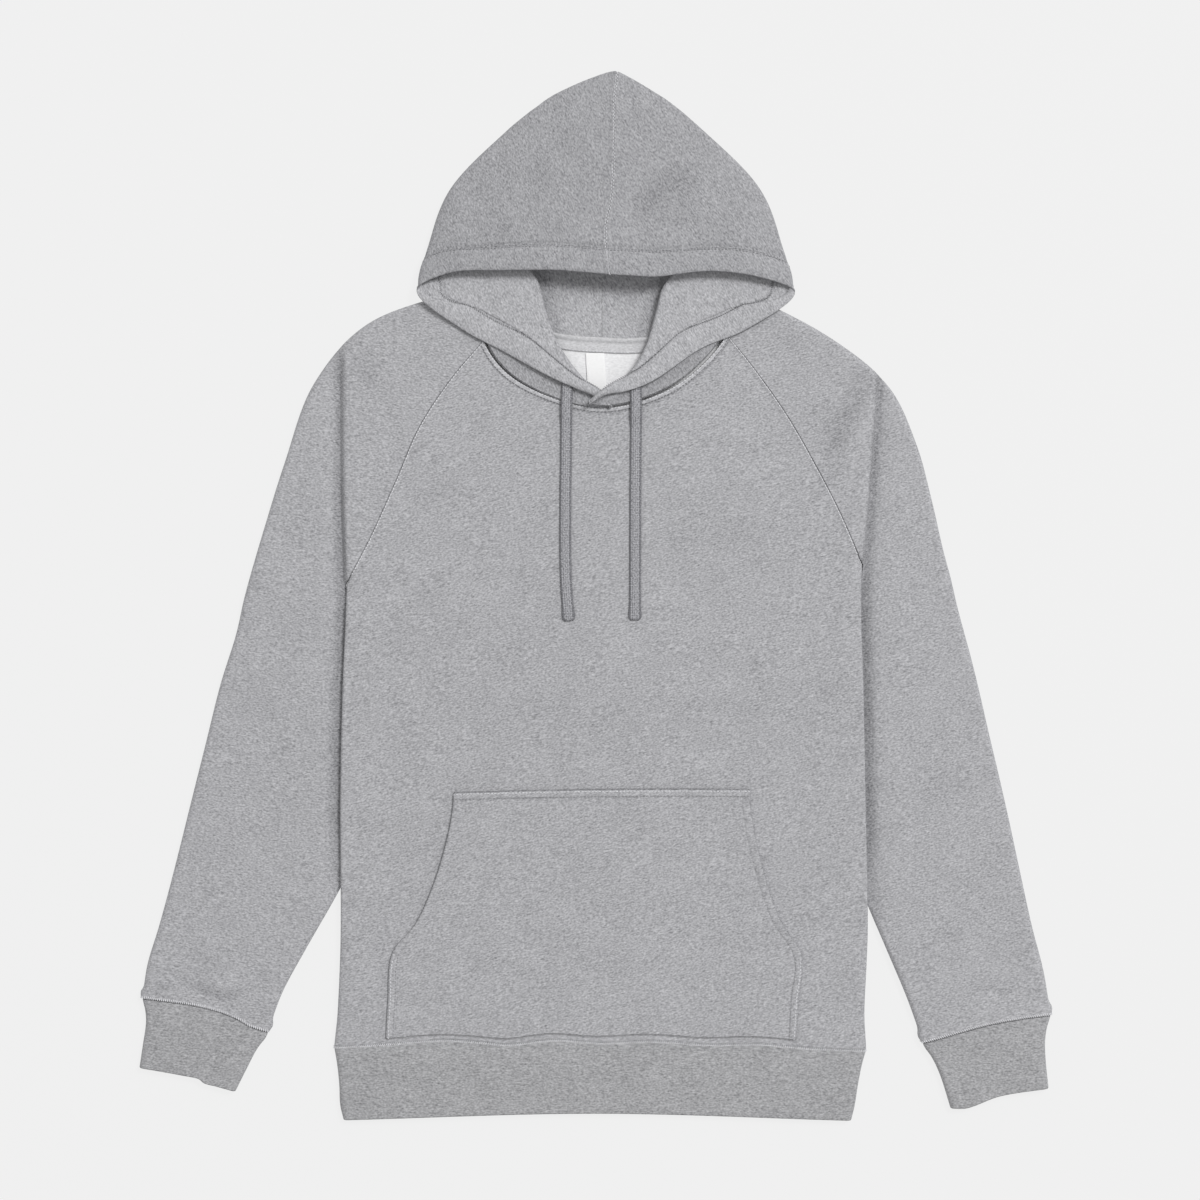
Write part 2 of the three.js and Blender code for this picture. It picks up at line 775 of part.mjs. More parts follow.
/** One half of the hood, as a sheet from its centre seam to the edge of the face opening. */
function hoodHalf(side) {
  const out = sides[side];
  const folds = HOOD_FOLDS[side];
  const [seamBack, seamTop] = [SEAM_BACK, SEAM_TOP].map(curve);
  const [neckFront, neckBack] = [FRONT_NECK, BACK_NECK].map(curve);
  const shoulder = side === "left" ? 0 : 1;
  const lapEnd = 0.5 + (HOOD_AXIS + out * folds[0].rollX - NECK_MIDDLE) / NECK_SPAN;
  const bow = (path, from, to, s) => {
    const straight = path.getPoint(from).lerp(path.getPoint(to), s);
    return path.getPoint(lerp(from, to, s)).sub(straight);
  };
  const grid = [];
  for (let row = 0; row <= HOOD_ROWS; row += 1) {
    const v = row / HOOD_ROWS;
    const onTopSeam = smoothstep(v, ...TOP_FADE);
    const onNeck = Math.max(1 - v / NECK_FADE, 0) ** 2;
    const fold = (name, k) => {
      const x = read(folds, "at", `${name}X`, v);
      const y = read(folds, "at", `${name}Y`, v);
      const p = vec(HOOD_AXIS + out * x, y).lerp(seamTop.getPoint(SEAM_AT[k]), onTopSeam);
      if (name === "side") p.y += TIP_SWELL[side] * Math.sqrt(4 * onTopSeam * (1 - onTopSeam));
      return p;
    };
    const points = [
      seamBack.getPoint(v),
      fold("turn", 1),
      fold("roll", 2),
      fold("side", 3),
      fold("edge", 4),
    ];
    const height = (name) => read(HOOD_HEIGHTS, "at", name, v);
    const layers = [
      [height("back"), height("back")],
      [height("collarTurn"), height("collarRoll")],
      [height("sideRoll"), height("sideFold")],
      [height("topFold"), height("topEdge")],
    ];
    const bows = [
      (s) => bow(neckBack, 0.5, shoulder, s),
      (s) => bow(neckFront, shoulder, lapEnd, s),
    ];
    const line = [];
    layers.forEach(([from, to], k) => {
      const [start, end] = [points[k], points[k + 1]];
      const width = start.distanceTo(end);
      const before = k > 0 ? layers[k - 1][1] : from;
      const after = k < 3 ? layers[k + 1][0] : to;
      steps(width, HOOD_COUNTS[k], k === 0 ? [0] : IN_FOLD, HOOD_ENDS[k]).forEach((d, i) => {
        if (k > 0 && i === 0) return;
        const s = d / width;
        const p = start.clone().lerp(end, s);
        p.addScaledVector(bow(seamTop, SEAM_AT[k], SEAM_AT[k + 1], s), onTopSeam);
        if (k < 2) p.addScaledVector(bows[k](s), onNeck);
        const level = lerp(from, to, k === 1 ? smoothstep(s, ...COLLAR_RISE) : s);
        const lapped = LAP_LIFT * (1 - smoothstep(out * (p.x - HOOD_AXIS), ...LAP_EDGE));
        const startGap = (before - from) / 2;
        const endGap = (after - to) / 2;
        p.z = level;
        p.z += startGap * (1 - turned(d, Math.abs(startGap)));
        p.z += endGap * (1 - turned(width - d, Math.abs(endGap)));
        if (side === "right" && k > 0) p.z += lapped * (1 - smoothstep(v, ...LAP_FADE));
        if (k === 3) p.z += TOP_CROWN * 4 * s * (1 - s) * smoothstep(v, ...CROWN_FADE);
        if (row === HOOD_ROWS || line.length === 0) p.x += out * SEAM_INSET;
        line.push(p);
      });
    });
    grid.push(line);
  }
  return wall(grid, CLOTH);
}

// The garment

const materials = {
  marl: new THREE.MeshStandardMaterial({ color: 0xadadb0, roughness: 0.95, metalness: 0 }),
  rib: new THREE.MeshStandardMaterial({ color: 0xa4a4a6, roughness: 0.95, metalness: 0 }),
  cord: new THREE.MeshStandardMaterial({ color: 0x949498, roughness: 0.9, metalness: 0 }),
  label: new THREE.MeshStandardMaterial({ color: 0xf2f2f0, roughness: 0.7, metalness: 0 }),
};

const garment = new THREE.Group();

function add(name, geometry, material) {
  const mesh = new THREE.Mesh(geometry, materials[material]);
  mesh.name = name;
  garment.add(mesh);
}

add("back_panel", backPanel, "marl");
add("front_panel", frontPanel, "marl");
for (const side of ["left", "right"]) {
  add(`sleeve_${side}`, sleeve(side), "marl");
  add(`cuff_${side}`, ribbedTube(CUFFS[side], 0, 3), "rib");
}
add("hem_band", ribbedTube(HEM_BAND, HEM_BOW, 7), "rib");
add("pocket", pocket(), "marl");
for (const side of ["left", "right"]) {
  add(`hood_${side}`, hoodHalf(side), "marl");
  add(`drawcord_${side}`, drawcord(DRAWCORDS[side]), "cord");
}
add("neck_tape", neckTape(), "marl");
add("neck_label", neckLabel(), "label");

export default garment;
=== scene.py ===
"""A pullover hoodie in grey marl sweatshirt cloth, laid flat on a pale surface and seen from above.

Lengths inside the functions are in millimetres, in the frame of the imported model: +X to the right as one
looks down on the garment, +Y towards the hood, +Z up. Each mesh is written in metres.
"""

import bpy
import numpy as np
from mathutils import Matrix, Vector


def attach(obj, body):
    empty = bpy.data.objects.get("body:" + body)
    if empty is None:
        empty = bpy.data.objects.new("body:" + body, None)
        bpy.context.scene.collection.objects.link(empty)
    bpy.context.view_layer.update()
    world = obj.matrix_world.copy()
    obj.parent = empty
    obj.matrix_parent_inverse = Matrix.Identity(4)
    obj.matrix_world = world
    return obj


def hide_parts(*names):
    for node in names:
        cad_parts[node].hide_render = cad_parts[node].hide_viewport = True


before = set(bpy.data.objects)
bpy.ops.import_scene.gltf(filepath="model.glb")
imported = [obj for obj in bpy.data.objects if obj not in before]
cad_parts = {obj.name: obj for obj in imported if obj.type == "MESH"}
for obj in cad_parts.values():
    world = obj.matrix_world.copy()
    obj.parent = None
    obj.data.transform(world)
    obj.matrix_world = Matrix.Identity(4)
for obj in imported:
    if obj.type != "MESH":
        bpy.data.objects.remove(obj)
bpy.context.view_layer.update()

# Camera
# It looks straight down on the middle of the garment, from far enough away that the layers of cloth
# hide nothing from each other.
LENS = 85
SENSOR = 36
PICTURE_WIDTH = 1.14  # metres across the picture, at the height of the cloth
camera_data = bpy.data.cameras.new("camera")
camera_data.lens = LENS
camera_data.sensor_width = SENSOR
camera = bpy.data.objects.new("camera", camera_data)
camera.location = (0.00475, -0.0038, PICTURE_WIDTH * LENS / SENSOR + 0.008)
bpy.context.scene.collection.objects.link(camera)
bpy.context.scene.camera = camera

# Drawcords
# Two free ends of one flat knitted cord, 10 mm wide. Each comes out under the hem of the hood, passes
# over the collar and lies straight down the chest to its cut end.
CLOTH = 2.0  # thickness of a layer of sweatshirt cloth
GAP = 0.35  # clear height between layers that lie on each other
HIGH = 9.0  # height of the middle of the front layer
SIDE_SWELL = 2.0  # how much higher it lies beside the body's edges
CORD_WIDTH = 10.0
CORD_THICKNESS = 2.2
CORD_ROUNDING = 3.5  # length of its rounded end
COLLAR_EDGE = 173.0  # the cords come down from the collar before this height in plan,
CORD_DESCENT = 14  # over this length
CORDS = {
    "left": [
        (-25.8, 214), (-26.3, 200), (-26.8, 186), (-27.2, 160), (-27.6, 120), (-28, 80), (-28, 40),
        (-26.8, 5), (-24.6, -23.7),
    ],
    "right": [
        (39.3, 205), (38.9, 196), (39.1, 184), (39, 160), (38.6, 120), (38.4, 80), (38.3, 40),
        (38.2, 5), (37.9, -23),
    ],
}
# The body's edges, which run on up the sleeves as a crease above the armholes
BODY_EDGES = {
    "y": [-427, -395, -320, -195, -95, 10, 100, 240],
    "left": [-248.2, -245, -242, -242.3, -240.4, -236.5, -238.8, -239.5],
    "right": [258, 256.5, 259.4, 257.5, 255.6, 253.4, 260, 270],
}


def along(points, t):
    """Points of a smooth curve through the rows x, y: a centripetal Catmull-Rom spline. t runs from 0
    to 1 and counts the rows evenly. Each span is the cubic between its two rows whose slopes come from
    the rows on each side, weighted by the square roots of the distances."""
    p = np.asarray(points, float)
    p = np.vstack([2 * p[0] - p[1], p, 2 * p[-1] - p[-2]])
    place = np.clip(t, 0, 1) * (len(p) - 3)
    k = np.minimum(np.floor(place).astype(int), len(p) - 4)
    s = (place - k)[..., None]
    a, b, c, d = p[k], p[k + 1], p[k + 2], p[k + 3]

    def root(q, r):
        return np.sqrt(np.linalg.norm(r - q, axis=-1, keepdims=True))

    ab, bc, cd = root(a, b), root(b, c), root(c, d)
    start = bc * ((b - a) / ab - (c - a) / (ab + bc) + (c - b) / bc)
    end = bc * ((c - b) / bc - (d - b) / (bc + cd) + (d - c) / cd)
    return b + s * start + s**2 * (3 * (c - b) - 2 * start - end) + s**3 * (2 * (b - c) + start + end)


def read(places, values, t):
    """Values at t, smoothly between the rows of a table: on each span the cubic that takes the slope at
    each row from the rows on both sides of it."""
    at, v = np.asarray(places, float), np.asarray(values, float)
    last = len(at) - 1
    before, after = np.maximum(np.arange(last + 1) - 1, 0), np.minimum(np.arange(last + 1) + 1, last)
    slope = (v[after] - v[before]) / (at[after] - at[before])
    k = np.clip(np.searchsorted(at, t, side="left") - 1, 0, last - 1)
    span = at[k + 1] - at[k]
    s = np.clip((t - at[k]) / span, 0, 1)
    rise = s * s * (3 - 2 * s)
    leaving, arriving = s * (1 - s) ** 2 * slope[k], s * s * (1 - s) * slope[k + 1]
    return v[k] + (v[k + 1] - v[k]) * rise + span * (leaving - arriving)


def smooth(x, low, high):
    """0 below low, 1 above high, and the cubic 3s^2 - 2s^3 between."""
    s = np.clip((x - low) / (high - low), 0, 1)
    return s * s * (3 - 2 * s)


def mix(a, b, t):
    return a + (b - a) * t


def edge_x(side, y):
    return read(BODY_EDGES["y"], BODY_EDGES[side], y)


def waves(x, y, size, seed):
    """Soft unevenness of about -1 to 1: the sum of sixteen plane waves about size across, in seeded
    directions, over four."""
    rng = np.random.default_rng(seed)
    total = np.zeros(np.broadcast(x, y).shape)
    for turn, phase, stretch in rng.uniform([0, 0, 0.7], [np.pi, 2 * np.pi, 1.5], (16, 3)):
        total += np.sin(2 * np.pi * stretch / size * (x * np.cos(turn) + y * np.sin(turn)) + phase)
    return total / 4


SEAM_SHADE = 0.35  # painted shade in the cloth's seams and along its edges, where its thickness goes to 0
SHADOW_PER_MM = 0.06  # painted shade in a crease for each millimetre of its depth, and painted light on a ridge
# Soft creases of the front: points from one end to the other, depth and width. A negative depth is a ridge
CREASES = [
    ([(262, 214), (246, 184), (228, 151), (219, 112)], 2.6, 12),
    ([(270, 190), (256, 165), (244, 140)], -0.8, 10),
    ([(-224, 236), (-214, 210), (-205, 185)], 1.5, 12),
    ([(176, 252), (188, 242), (200, 236)], 1.2, 9),
    ([(-205, 120), (-150, 96), (-92, 84)], 0.5, 16),
    ([(205, 80), (140, 60), (80, 60)], 0.5, 16),
    ([(-220, -60), (-160, -40), (-90, -52)], 0.5, 18),
    ([(235, -90), (180, -110), (110, -104)], 0.5, 18),
    ([(-120, -110), (-20, -122), (90, -114)], 0.6, 20),
    ([(-60, 60), (-48, 10), (-50, -50)], 0.4, 18),
    ([(90, 110), (84, 40), (96, -20)], 0.4, 18),
]


def creases(x, y, table):
    """Height of the creases at x, y: for each one, minus its depth times a bell curve of the distance to
    its line, which also fades out towards both ends."""
    total = np.zeros(np.broadcast(x, y).shape)
    for points, depth, width in table:
        line = along(points, np.linspace(0, 1, 25))
        gap = (x[..., None] - line[:, 0]) ** 2 + (y[..., None] - line[:, 1]) ** 2
        near = gap.argmin(-1)
        fade = np.sin(np.pi * np.clip((near + 1) / 26, 0, 1)) ** 0.7
        total -= depth * np.exp(-gap.min(-1) / width**2) * fade
    return total


def crease_shadow(x, y, table):
    """Painted shade in those creases, and painted light on the ridges."""
    return -SHADOW_PER_MM * creases(x, y, table)


def uneven(x, y):
    """Height that the lie of the soft front adds: its creases and an unevenness of half a millimetre,
    except where the hood lies on it."""
    free = 1 - smooth(y, 150, 200) * (1 - smooth(np.abs(x - 9.7), 185, 215))
    return free * (0.35 * waves(x, y, 75, 3) + 0.2 * waves(x, y, 34, 5) + creases(x, y, CREASES))


def body_high(x, y):
    """Height of the middle of the front layer: level, swelling towards the body's edges."""
    inside = np.minimum(x - edge_x("left", y), edge_x("right", y) - x)
    swell = (1 - smooth(inside, 8, 60)) * smooth(y, -420, -330)
    return HIGH + SIDE_SWELL * swell + uneven(x, y)


def quads(index):
    """The four corner numbers of each cell of a grid of vertex numbers."""
    return np.stack([index[:-1, :-1], index[:-1, 1:], index[1:, 1:], index[1:, :-1]], -1).reshape(-1, 4)


def facing(table, ring=False):
    """Unit normals of a table of points: the cross product of its central differences. A ring's last
    column is its first one again."""
    grid = table[..., :3]
    if ring:
        around = np.concatenate([grid[:, -2:-1], grid, grid[:, 1:2]], axis=1)
        across = around[:, 2:] - around[:, :-2]
    else:
        across = np.gradient(grid, axis=1)
    normal = np.cross(across, np.gradient(grid, axis=0))
    return normal / np.maximum(np.linalg.norm(normal, axis=-1, keepdims=True), 1e-9)


def wall(name, table, materials, ring=False, uv=None, shade=0.0):
    """A closed wall of cloth as a smooth mesh. table (rows, columns, 4) has its middle surface in
    millimetres and its half thickness: both faces are the middle moved by the half along the normal, and
    they share their points where the half is 0, along the open edges. The first material is for the face
    that the normal points out of, and the last for the other. shade is painted shade on the cloth at its
    points, painted light where it is below 0, and painted shade is added in its seams and along its edges
    too, where the half goes to 0."""
    shade = shade + SEAM_SHADE * (1 - np.clip(table[..., 3] / np.median(table[..., 3]), 0, 1) ** 3)
    offset = facing(table, ring) * table[..., 3:]
    if ring:
        table, offset, shade = table[:, :-1], offset[:, :-1], shade[:, :-1]
    rows, cols = table.shape[:2]
    top, under = table[..., :3] + offset, table[..., :3] - offset
    for face in (top, under):
        face[..., 2] = np.maximum(face[..., 2], 0)
    shared = table[..., 3] <= 0
    upper = np.arange(rows * cols).reshape(rows, cols)
    lower = np.where(shared, upper, rows * cols + np.cumsum(~shared).reshape(rows, cols) - 1)
    if ring:
        upper, lower = (np.column_stack([index, index[:, 0]]) for index in (upper, lower))
    faces = np.vstack([quads(upper), quads(lower)[:, ::-1]])
    vertices = np.vstack([top.reshape(-1, 3), under[~shared]]) * 0.001
    mesh = bpy.data.meshes.new(name)
    mesh.vertices.add(len(vertices))
    mesh.vertices.foreach_set("co", vertices.ravel())
    mesh.loops.add(faces.size)
    mesh.loops.foreach_set("vertex_index", faces.ravel().astype(np.int32))
    mesh.polygons.add(len(faces))
    mesh.polygons.foreach_set("loop_start", np.arange(0, faces.size, 4, dtype=np.int32))
    mesh.update(calc_edges=True)
    if uv is not None:
        corner = quads(np.arange(rows * cols).reshape(rows, cols))
        corners = np.vstack([corner, corner[:, ::-1]])
        layer = mesh.uv_layers.new(name="cloth")
        layer.data.foreach_set("uv", uv.reshape(-1, 2)[corners.ravel()].ravel() * 0.001)
    attribute = mesh.attributes.new("shade", "FLOAT", "POINT")
    attribute.data.foreach_set("value", np.concatenate([shade.ravel(), shade[~shared]]))
    for material in materials:
        mesh.materials.append(material)
    slots = np.repeat([0, len(materials) - 1], len(faces) // 2).astype(np.int32)
    mesh.polygons.foreach_set("material_index", slots)
    mesh.polygons.foreach_set("use_smooth", np.ones(len(faces), bool))
    piece = bpy.data.objects.new(name, mesh)
    bpy.context.scene.collection.objects.link(piece)
    return piece


def put(piece, node):
    """The piece stands for its CAD node, which it hides, and rides on the one body."""
    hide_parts(node)
    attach(piece, "root")


def node_group(name, inputs, outputs):
    """An empty shader node group with its sockets, and the nodes that hold them."""
    group = bpy.data.node_groups.new(name, "ShaderNodeTree")
    for label, kind, default in inputs:
        socket = group.interface.new_socket(name=label, in_out="INPUT", socket_type=kind)
        if default is not None:
            socket.default_value = default
    for label, kind in outputs:
        group.interface.new_socket(name=label, in_out="OUTPUT", socket_type=kind)
    return group, group.nodes.new("NodeGroupInput"), group.nodes.new("NodeGroupOutput")


def add_node(tree, kind, inputs=None, **settings):
    """A node with its settings, its inputs set to values or linked from sockets."""
    node = tree.nodes.new(kind)
    for key, value in settings.items():
        setattr(node, key, value)
    for key, value in (inputs or {}).items():
        if isinstance(value, bpy.types.NodeSocket):
            tree.links.new(value, node.inputs[key])
        else:
            node.inputs[key].default_value = value
    return node


def calculate(tree, operation, *inputs):
    """The output of a Math node."""
    return add_node(tree, "ShaderNodeMath", dict(enumerate(inputs)), operation=operation).outputs[0]


def grey(value, blue=0.0):
    """A linear colour from an sRGB grey level of 0 to 255, its blue level that much higher."""
    levels = np.array([value, value, value + blue]) / 255
    return (*(((levels + 0.055) / 1.055) ** 2.4), 1.0)


# The cord's knit: columns of small stitches along it, darker between them, with painted shade towards its
# edges for the shadow beside the cord
COLUMN_WIDTH = 0.0021  # metres
STITCH_LENGTH = 0.0025
STITCH_SLANT = 0.0008
CORD_DARK, CORD_LIGHT = 116, 192  # grey levels
cord_material = bpy.data.materials.new("knitted cord")
cord_material.use_nodes = True
tree = cord_material.node_tree
shader = tree.nodes["Principled BSDF"]
shader.inputs["Roughness"].default_value = 0.9
shader.inputs["Specular IOR Level"].default_value = 0.2
place = add_node(tree, "ShaderNodeUVMap", uv_map="cloth")
parts = add_node(tree, "ShaderNodeSeparateXYZ", {0: place.outputs[0]})
column = calculate(tree, "SINE", calculate(tree, "MULTIPLY", parts.outputs[0], 2 * np.pi / COLUMN_WIDTH))
slant = calculate(tree, "MULTIPLY", calculate(tree, "ABSOLUTE", column), STITCH_SLANT)
along_cord = calculate(tree, "ADD", parts.outputs[1], slant)
stitch = calculate(tree, "SINE", calculate(tree, "MULTIPLY", along_cord, 2 * np.pi / STITCH_LENGTH))
columns = calculate(tree, "MULTIPLY", column, 0.5)
relief = calculate(tree, "ADD", columns, calculate(tree, "MULTIPLY", stitch, 0.35))
noise_inputs = {"Vector": place.outputs[0], "Scale": 700, "Detail": 3}
fibres = add_node(tree, "ShaderNodeTexNoise", noise_inputs, noise_dimensions="2D")
aside = calculate(tree, "ABSOLUTE", parts.outputs[0])
# Painted shade towards the cord's edges
edge = add_node(tree, "ShaderNodeMapRange", {0: aside, 1: 0.003, 2: 0.0052, 3: 0, 4: 0.34})
tone = calculate(tree, "ADD", calculate(tree, "MULTIPLY", relief, 0.12), fibres.outputs[0])
tone = calculate(tree, "SUBTRACT", tone, edge.outputs[0])
ramp = add_node(tree, "ShaderNodeValToRGB", {0: tone})
ramp.color_ramp.elements[0].position = 0.25
ramp.color_ramp.elements[0].color = grey(CORD_DARK, 4)
ramp.color_ramp.elements[1].position = 0.75
ramp.color_ramp.elements[1].color = grey(CORD_LIGHT, 4)
bump = add_node(tree, "ShaderNodeBump", {"Height": relief, "Strength": 0.6, "Distance": 0.0005})
tree.links.new(ramp.outputs[0], shader.inputs["Base Color"])
tree.links.new(bump.outputs[0], shader.inputs["Normal"])

for side, route in CORDS.items():
    # Half the thickness goes as a power towards the edges, with a groove along each of them
    t = np.linspace(0, 1, 121)
    line = along(route, t)
    travelled = np.append(0, np.cumsum(np.linalg.norm(np.diff(line, axis=0), axis=1)))
    direction = np.gradient(line, axis=0)
    direction /= np.linalg.norm(direction, axis=1, keepdims=True)
    lift = (CLOTH + GAP) * smooth(line[:, 1], COLLAR_EDGE - CORD_DESCENT, COLLAR_EDGE)
    height = body_high(line[:, 0], line[:, 1]) + (CLOTH + CORD_THICKNESS) / 2 + GAP + lift
    s = np.sin(np.linspace(-np.pi / 2, np.pi / 2, 31))
    flare = 1.08 + 0.14 * smooth(t, 0.93, 0.98)[:, None]
    to_cut = np.clip((travelled[-1] - travelled)[:, None] / CORD_ROUNDING, 0, 1)
    flare = flare * (1 - 0.35 * (1 - to_cut) ** 2)
    reach = CORD_WIDTH / 2 * flare * s
    groove = 1 - 0.35 * np.exp(-(((np.abs(s) - 0.62) / 0.1) ** 2))
    to_end = np.minimum(travelled, travelled[-1] - travelled)
    closing = np.sqrt(1 - (1 - np.clip(to_end / 1.5, 0, 1)) ** 2)
    half = CORD_THICKNESS / 2 * closing[:, None] * np.clip(1 - s**4, 0, 1) ** 0.4 * groove
    half[:, [0, -1]] = 0
    x, y = line[:, :1] - direction[:, 1:] * reach, line[:, 1:] + direction[:, :1] * reach
    table = np.stack(np.broadcast_arrays(x, y, height[:, None], half), -1)
    uv = np.stack(np.broadcast_arrays(reach, travelled[:, None]), -1)
    piece = wall(f"cord_{side}", table, [cord_material], uv=uv)
    put(piece, f"drawcord_{side}")

# Front panel
# The front of the body, cut from brushed sweatshirt cloth: grey marl outside, white fleece inside. Its
# raglan and side seams are flat, and the cloth rises a little along them.
RIB = 2.6  # thickness of the folded rib
LOW = CLOTH / 2  # height of the middle of a layer that lies on the surface
PRESSED = 3.6  # height of the top layer of a tucked sleeve
MARL = 163.0  # grey level of the cloth, and how far its yarns go to each side of it
SPREAD = 50.0
YARN_CONTRAST = 1.0
FIBRE_CONTRAST = 0.6
CLOUD_CONTRAST = 0.13
TUCK_LIFT = 5.4  # how far a tucked sleeve lifts the back of the body
TUCK_CLEAR = 7.0  # the body stays lifted this far past the tucked sleeve,
TUCK_SLOPE = 42.0  # and comes down over this width
FOLD_INSET = CLOTH / 2 + GAP / 2
HEM_BOW = 6.5  # how far the hem curves up between its ends
HEM_ENDS = [(-248.2, -428), (258, -431)]
# Heights in plan that the hem seam's waves add, from its left end to its right end
HEM_WAVES = (
    [0, 0.08, 0.2, 0.27, 0.33, 0.41, 0.5, 0.6, 0.7, 0.8, 0.9, 1],
    [0, 0.5, 3, 0.5, -2.4, 1.8, -1, 1.2, -1, 1, -1, 0],
)
FRONT_NECK = [
    (-107.4, 297), (-109, 269), (-105.5, 242.3), (-87, 215), (-52, 193), (7, 178.3), (66, 194),
    (103, 221), (124.5, 248.9), (128.5, 273), (126.4, 297),
]
BACK_NECK = [
    (-107.4, 297), (-95, 277), (-76, 260), (-36, 248.3), (6.6, 244.2), (47, 244.5), (95, 258),
    (114, 277), (126.4, 297),
]
# The sleeves' seams and folds: underarm and the first rows of outer are pairs of points across the
# sleeve from the cuff to the armhole, the raglan seams and the last rows of outer from there to the neck
SLEEVES = {
    "left": {
        "underarm": [
            (-310.7, -414), (-297, -377), (-276, -338), (-244, -282), (-213, -224), (-196, -165),
            (-198, -105), (-222, -52), (-233, -20), (-236.5, 10.5),
        ],
        "outer": [
            (-430.4, -382), (-425.6, -350.6), (-414.2, -312.6), (-399, -255.6), (-384.8, -198.6),
            (-370.5, -141.6), (-356.3, -84.6), (-341.5, -37), (-334, -4), (-327, 22), (-312, 73),
            (-295, 127), (-268, 200.5), (-217.6, 257.5), (-107.4, 297),
        ],
        "front": [(-236.5, 10.5), (-213, 56), (-190, 107), (-166.3, 161), (-136, 206.5), (-105.5, 242.3)],
        "back": [(-236.5, 10.5), (-210, 62), (-184, 122), (-157, 176), (-121, 222), (-76, 260)],
    },
    "right": {
        "underarm": [
            (311.3, -424.4), (297, -384), (276, -334), (256, -287), (231, -222), (216, -156),
            (214, -90), (237, -34), (249, -2), (253.7, 29.5),
        ],
        "outer": [
            (433.2, -398), (426.5, -357), (415.2, -312.6), (402.8, -255.6), (390.5, -198.6),
            (375.4, -134), (360, -68), (345, -12), (338, 18), (331, 44), (320, 92), (305.9, 143.5),
            (280, 198), (227, 243.2), (126.4, 297),
        ],
        "front": [(253.7, 29.5), (233, 78), (209.4, 124), (183, 170), (154, 211.5), (124.5, 248.9)],
        "back": [(253.7, 29.5), (230, 86), (205, 136), (177, 184), (140, 226), (95, 258)],
    },
}
OUTWARDS = {"left": -1, "right": 1}
# Profiles of cloth near an edge: distance in from it, share of the cloth's thickness, and lift. A cut
# edge is square with soft corners, and the edges of a closed seam all but meet; a seam's folded edges
# lift the cloth beside it; a stitched edge has also a row of stitches, which pulls it down in a groove.
CUT_EDGE = [(0.05, 0, 0.6), (0.2, 0.7, 0.08), (0.5, 0.93, 0), (1.1, 1, 0)]
FOLDED_EDGE = [(0.02, 0, 0), (0.14, 0.45, 0), (0.5, 0.8, 0), (1.2, 1, 0)]
CLOSED_EDGE = [(0.02, 0, 0), (0.08, 0.7, 0), (0.3, 0.97, 0), (0.8, 1, 0)]
SEAM_EDGE = [(0.2, 0, -0.1), (0.35, 0.7, 0), (0.8, 0.93, 0.2), (1.4, 1, 0.5)]
SEAM_EDGE += [(2.4, 1, 0.5), (3.6, 1, 0.1), (6, 1, 0)]


def stitched_edge(distance, lift=0.5, depth=0.2):
    """A seam edge with a row of stitches at that distance from it."""
    edge = [(0.3, 0, -0.2), (0.5, 0.7, -0.1), (1.0, 0.93, 0.6 * lift), (1.8, 1, lift)]
    groove = [(-1.6, lift), (-0.7, lift / 2 - depth / 2), (0, -depth), (0.7, -depth / 2)]
    groove += [(1.8, 0.1), (4, 0)]
    return edge + [(distance + step, 1, height) for step, height in groove]


def over_sleeve(side, x, y):
    """1 where the body lies on the tucked part of a sleeve and 0 away from it."""
    underarm = np.array(SLEEVES[side]["underarm"])
    inward = OUTWARDS[side] * (read(underarm[:, 1], underarm[:, 0], y) - x)
    top, leaves = SLEEVES[side]["front"][0][1], underarm[3, 1]
    return (
        (1 - smooth(inward, TUCK_CLEAR, TUCK_CLEAR + TUCK_SLOPE))
        * (1 - smooth(y, top - 26, top - 2))
        * smooth(y, leaves - 60, leaves - 12)
    )


def body_low(x, y):
    """Height of the middle of the back layer: on the surface, lifted by the tucked sleeves."""
    return LOW + TUCK_LIFT * np.maximum(over_sleeve("left", x, y), over_sleeve("right", x, y))


def rounded(distance, radius):
    """How far a quarter circle of that radius has risen at a distance from its start, from 0 to 1."""
    t = np.clip(distance / np.maximum(radius, 1e-6), 0, 1)
    return np.sqrt(1 - (1 - t) ** 2)


def bend(radius, steps):
    """Places from 0 to 1: close together within radius of each end, and even between them."""
    close = radius * (1 - np.cos(np.linspace(0, np.pi / 2, 7)))
    even = np.linspace(radius, 1 - radius, steps)[1:-1]
    return np.concatenate([close, even, (1 - close)[::-1]])


def from_edge(table, axis, end):
    """A table turned so that its rows run along one of its edges, and the distance of each of its points
    from that edge, measured along the cloth."""
    line = np.moveaxis(table, axis, 0)
    line = line[::-1] if end else line
    steps = np.linalg.norm(np.diff(line[..., :3], axis=0), axis=-1)
    return line, np.concatenate([np.zeros_like(steps[:1]), np.cumsum(steps, axis=0)])


def at_distance(line, far, distance):
    """The row of a turned table at a distance from its edge, between its own rows in proportion."""
    k = np.clip((far < distance).sum(0) - 1, 0, len(far) - 2)
    column = np.arange(far.shape[1])
    share = (distance - far[k, column]) / np.maximum(far[k + 1, column] - far[k, column], 1e-6)
    return mix(line[k, column], line[k + 1, column], np.clip(share, 0, 1)[:, None])


def shade_near_edge(table, axis, end, profile):
    """Painted shade on the cloth, painted light where it is below 0, from a profile of distance in from an
    edge and shade.
    """
    distance, dark = np.array(profile).T
    shade = np.interp(from_edge(table, axis, end)[1], distance, dark)
    return np.moveaxis(shade[::-1] if end else shade, 0, axis)


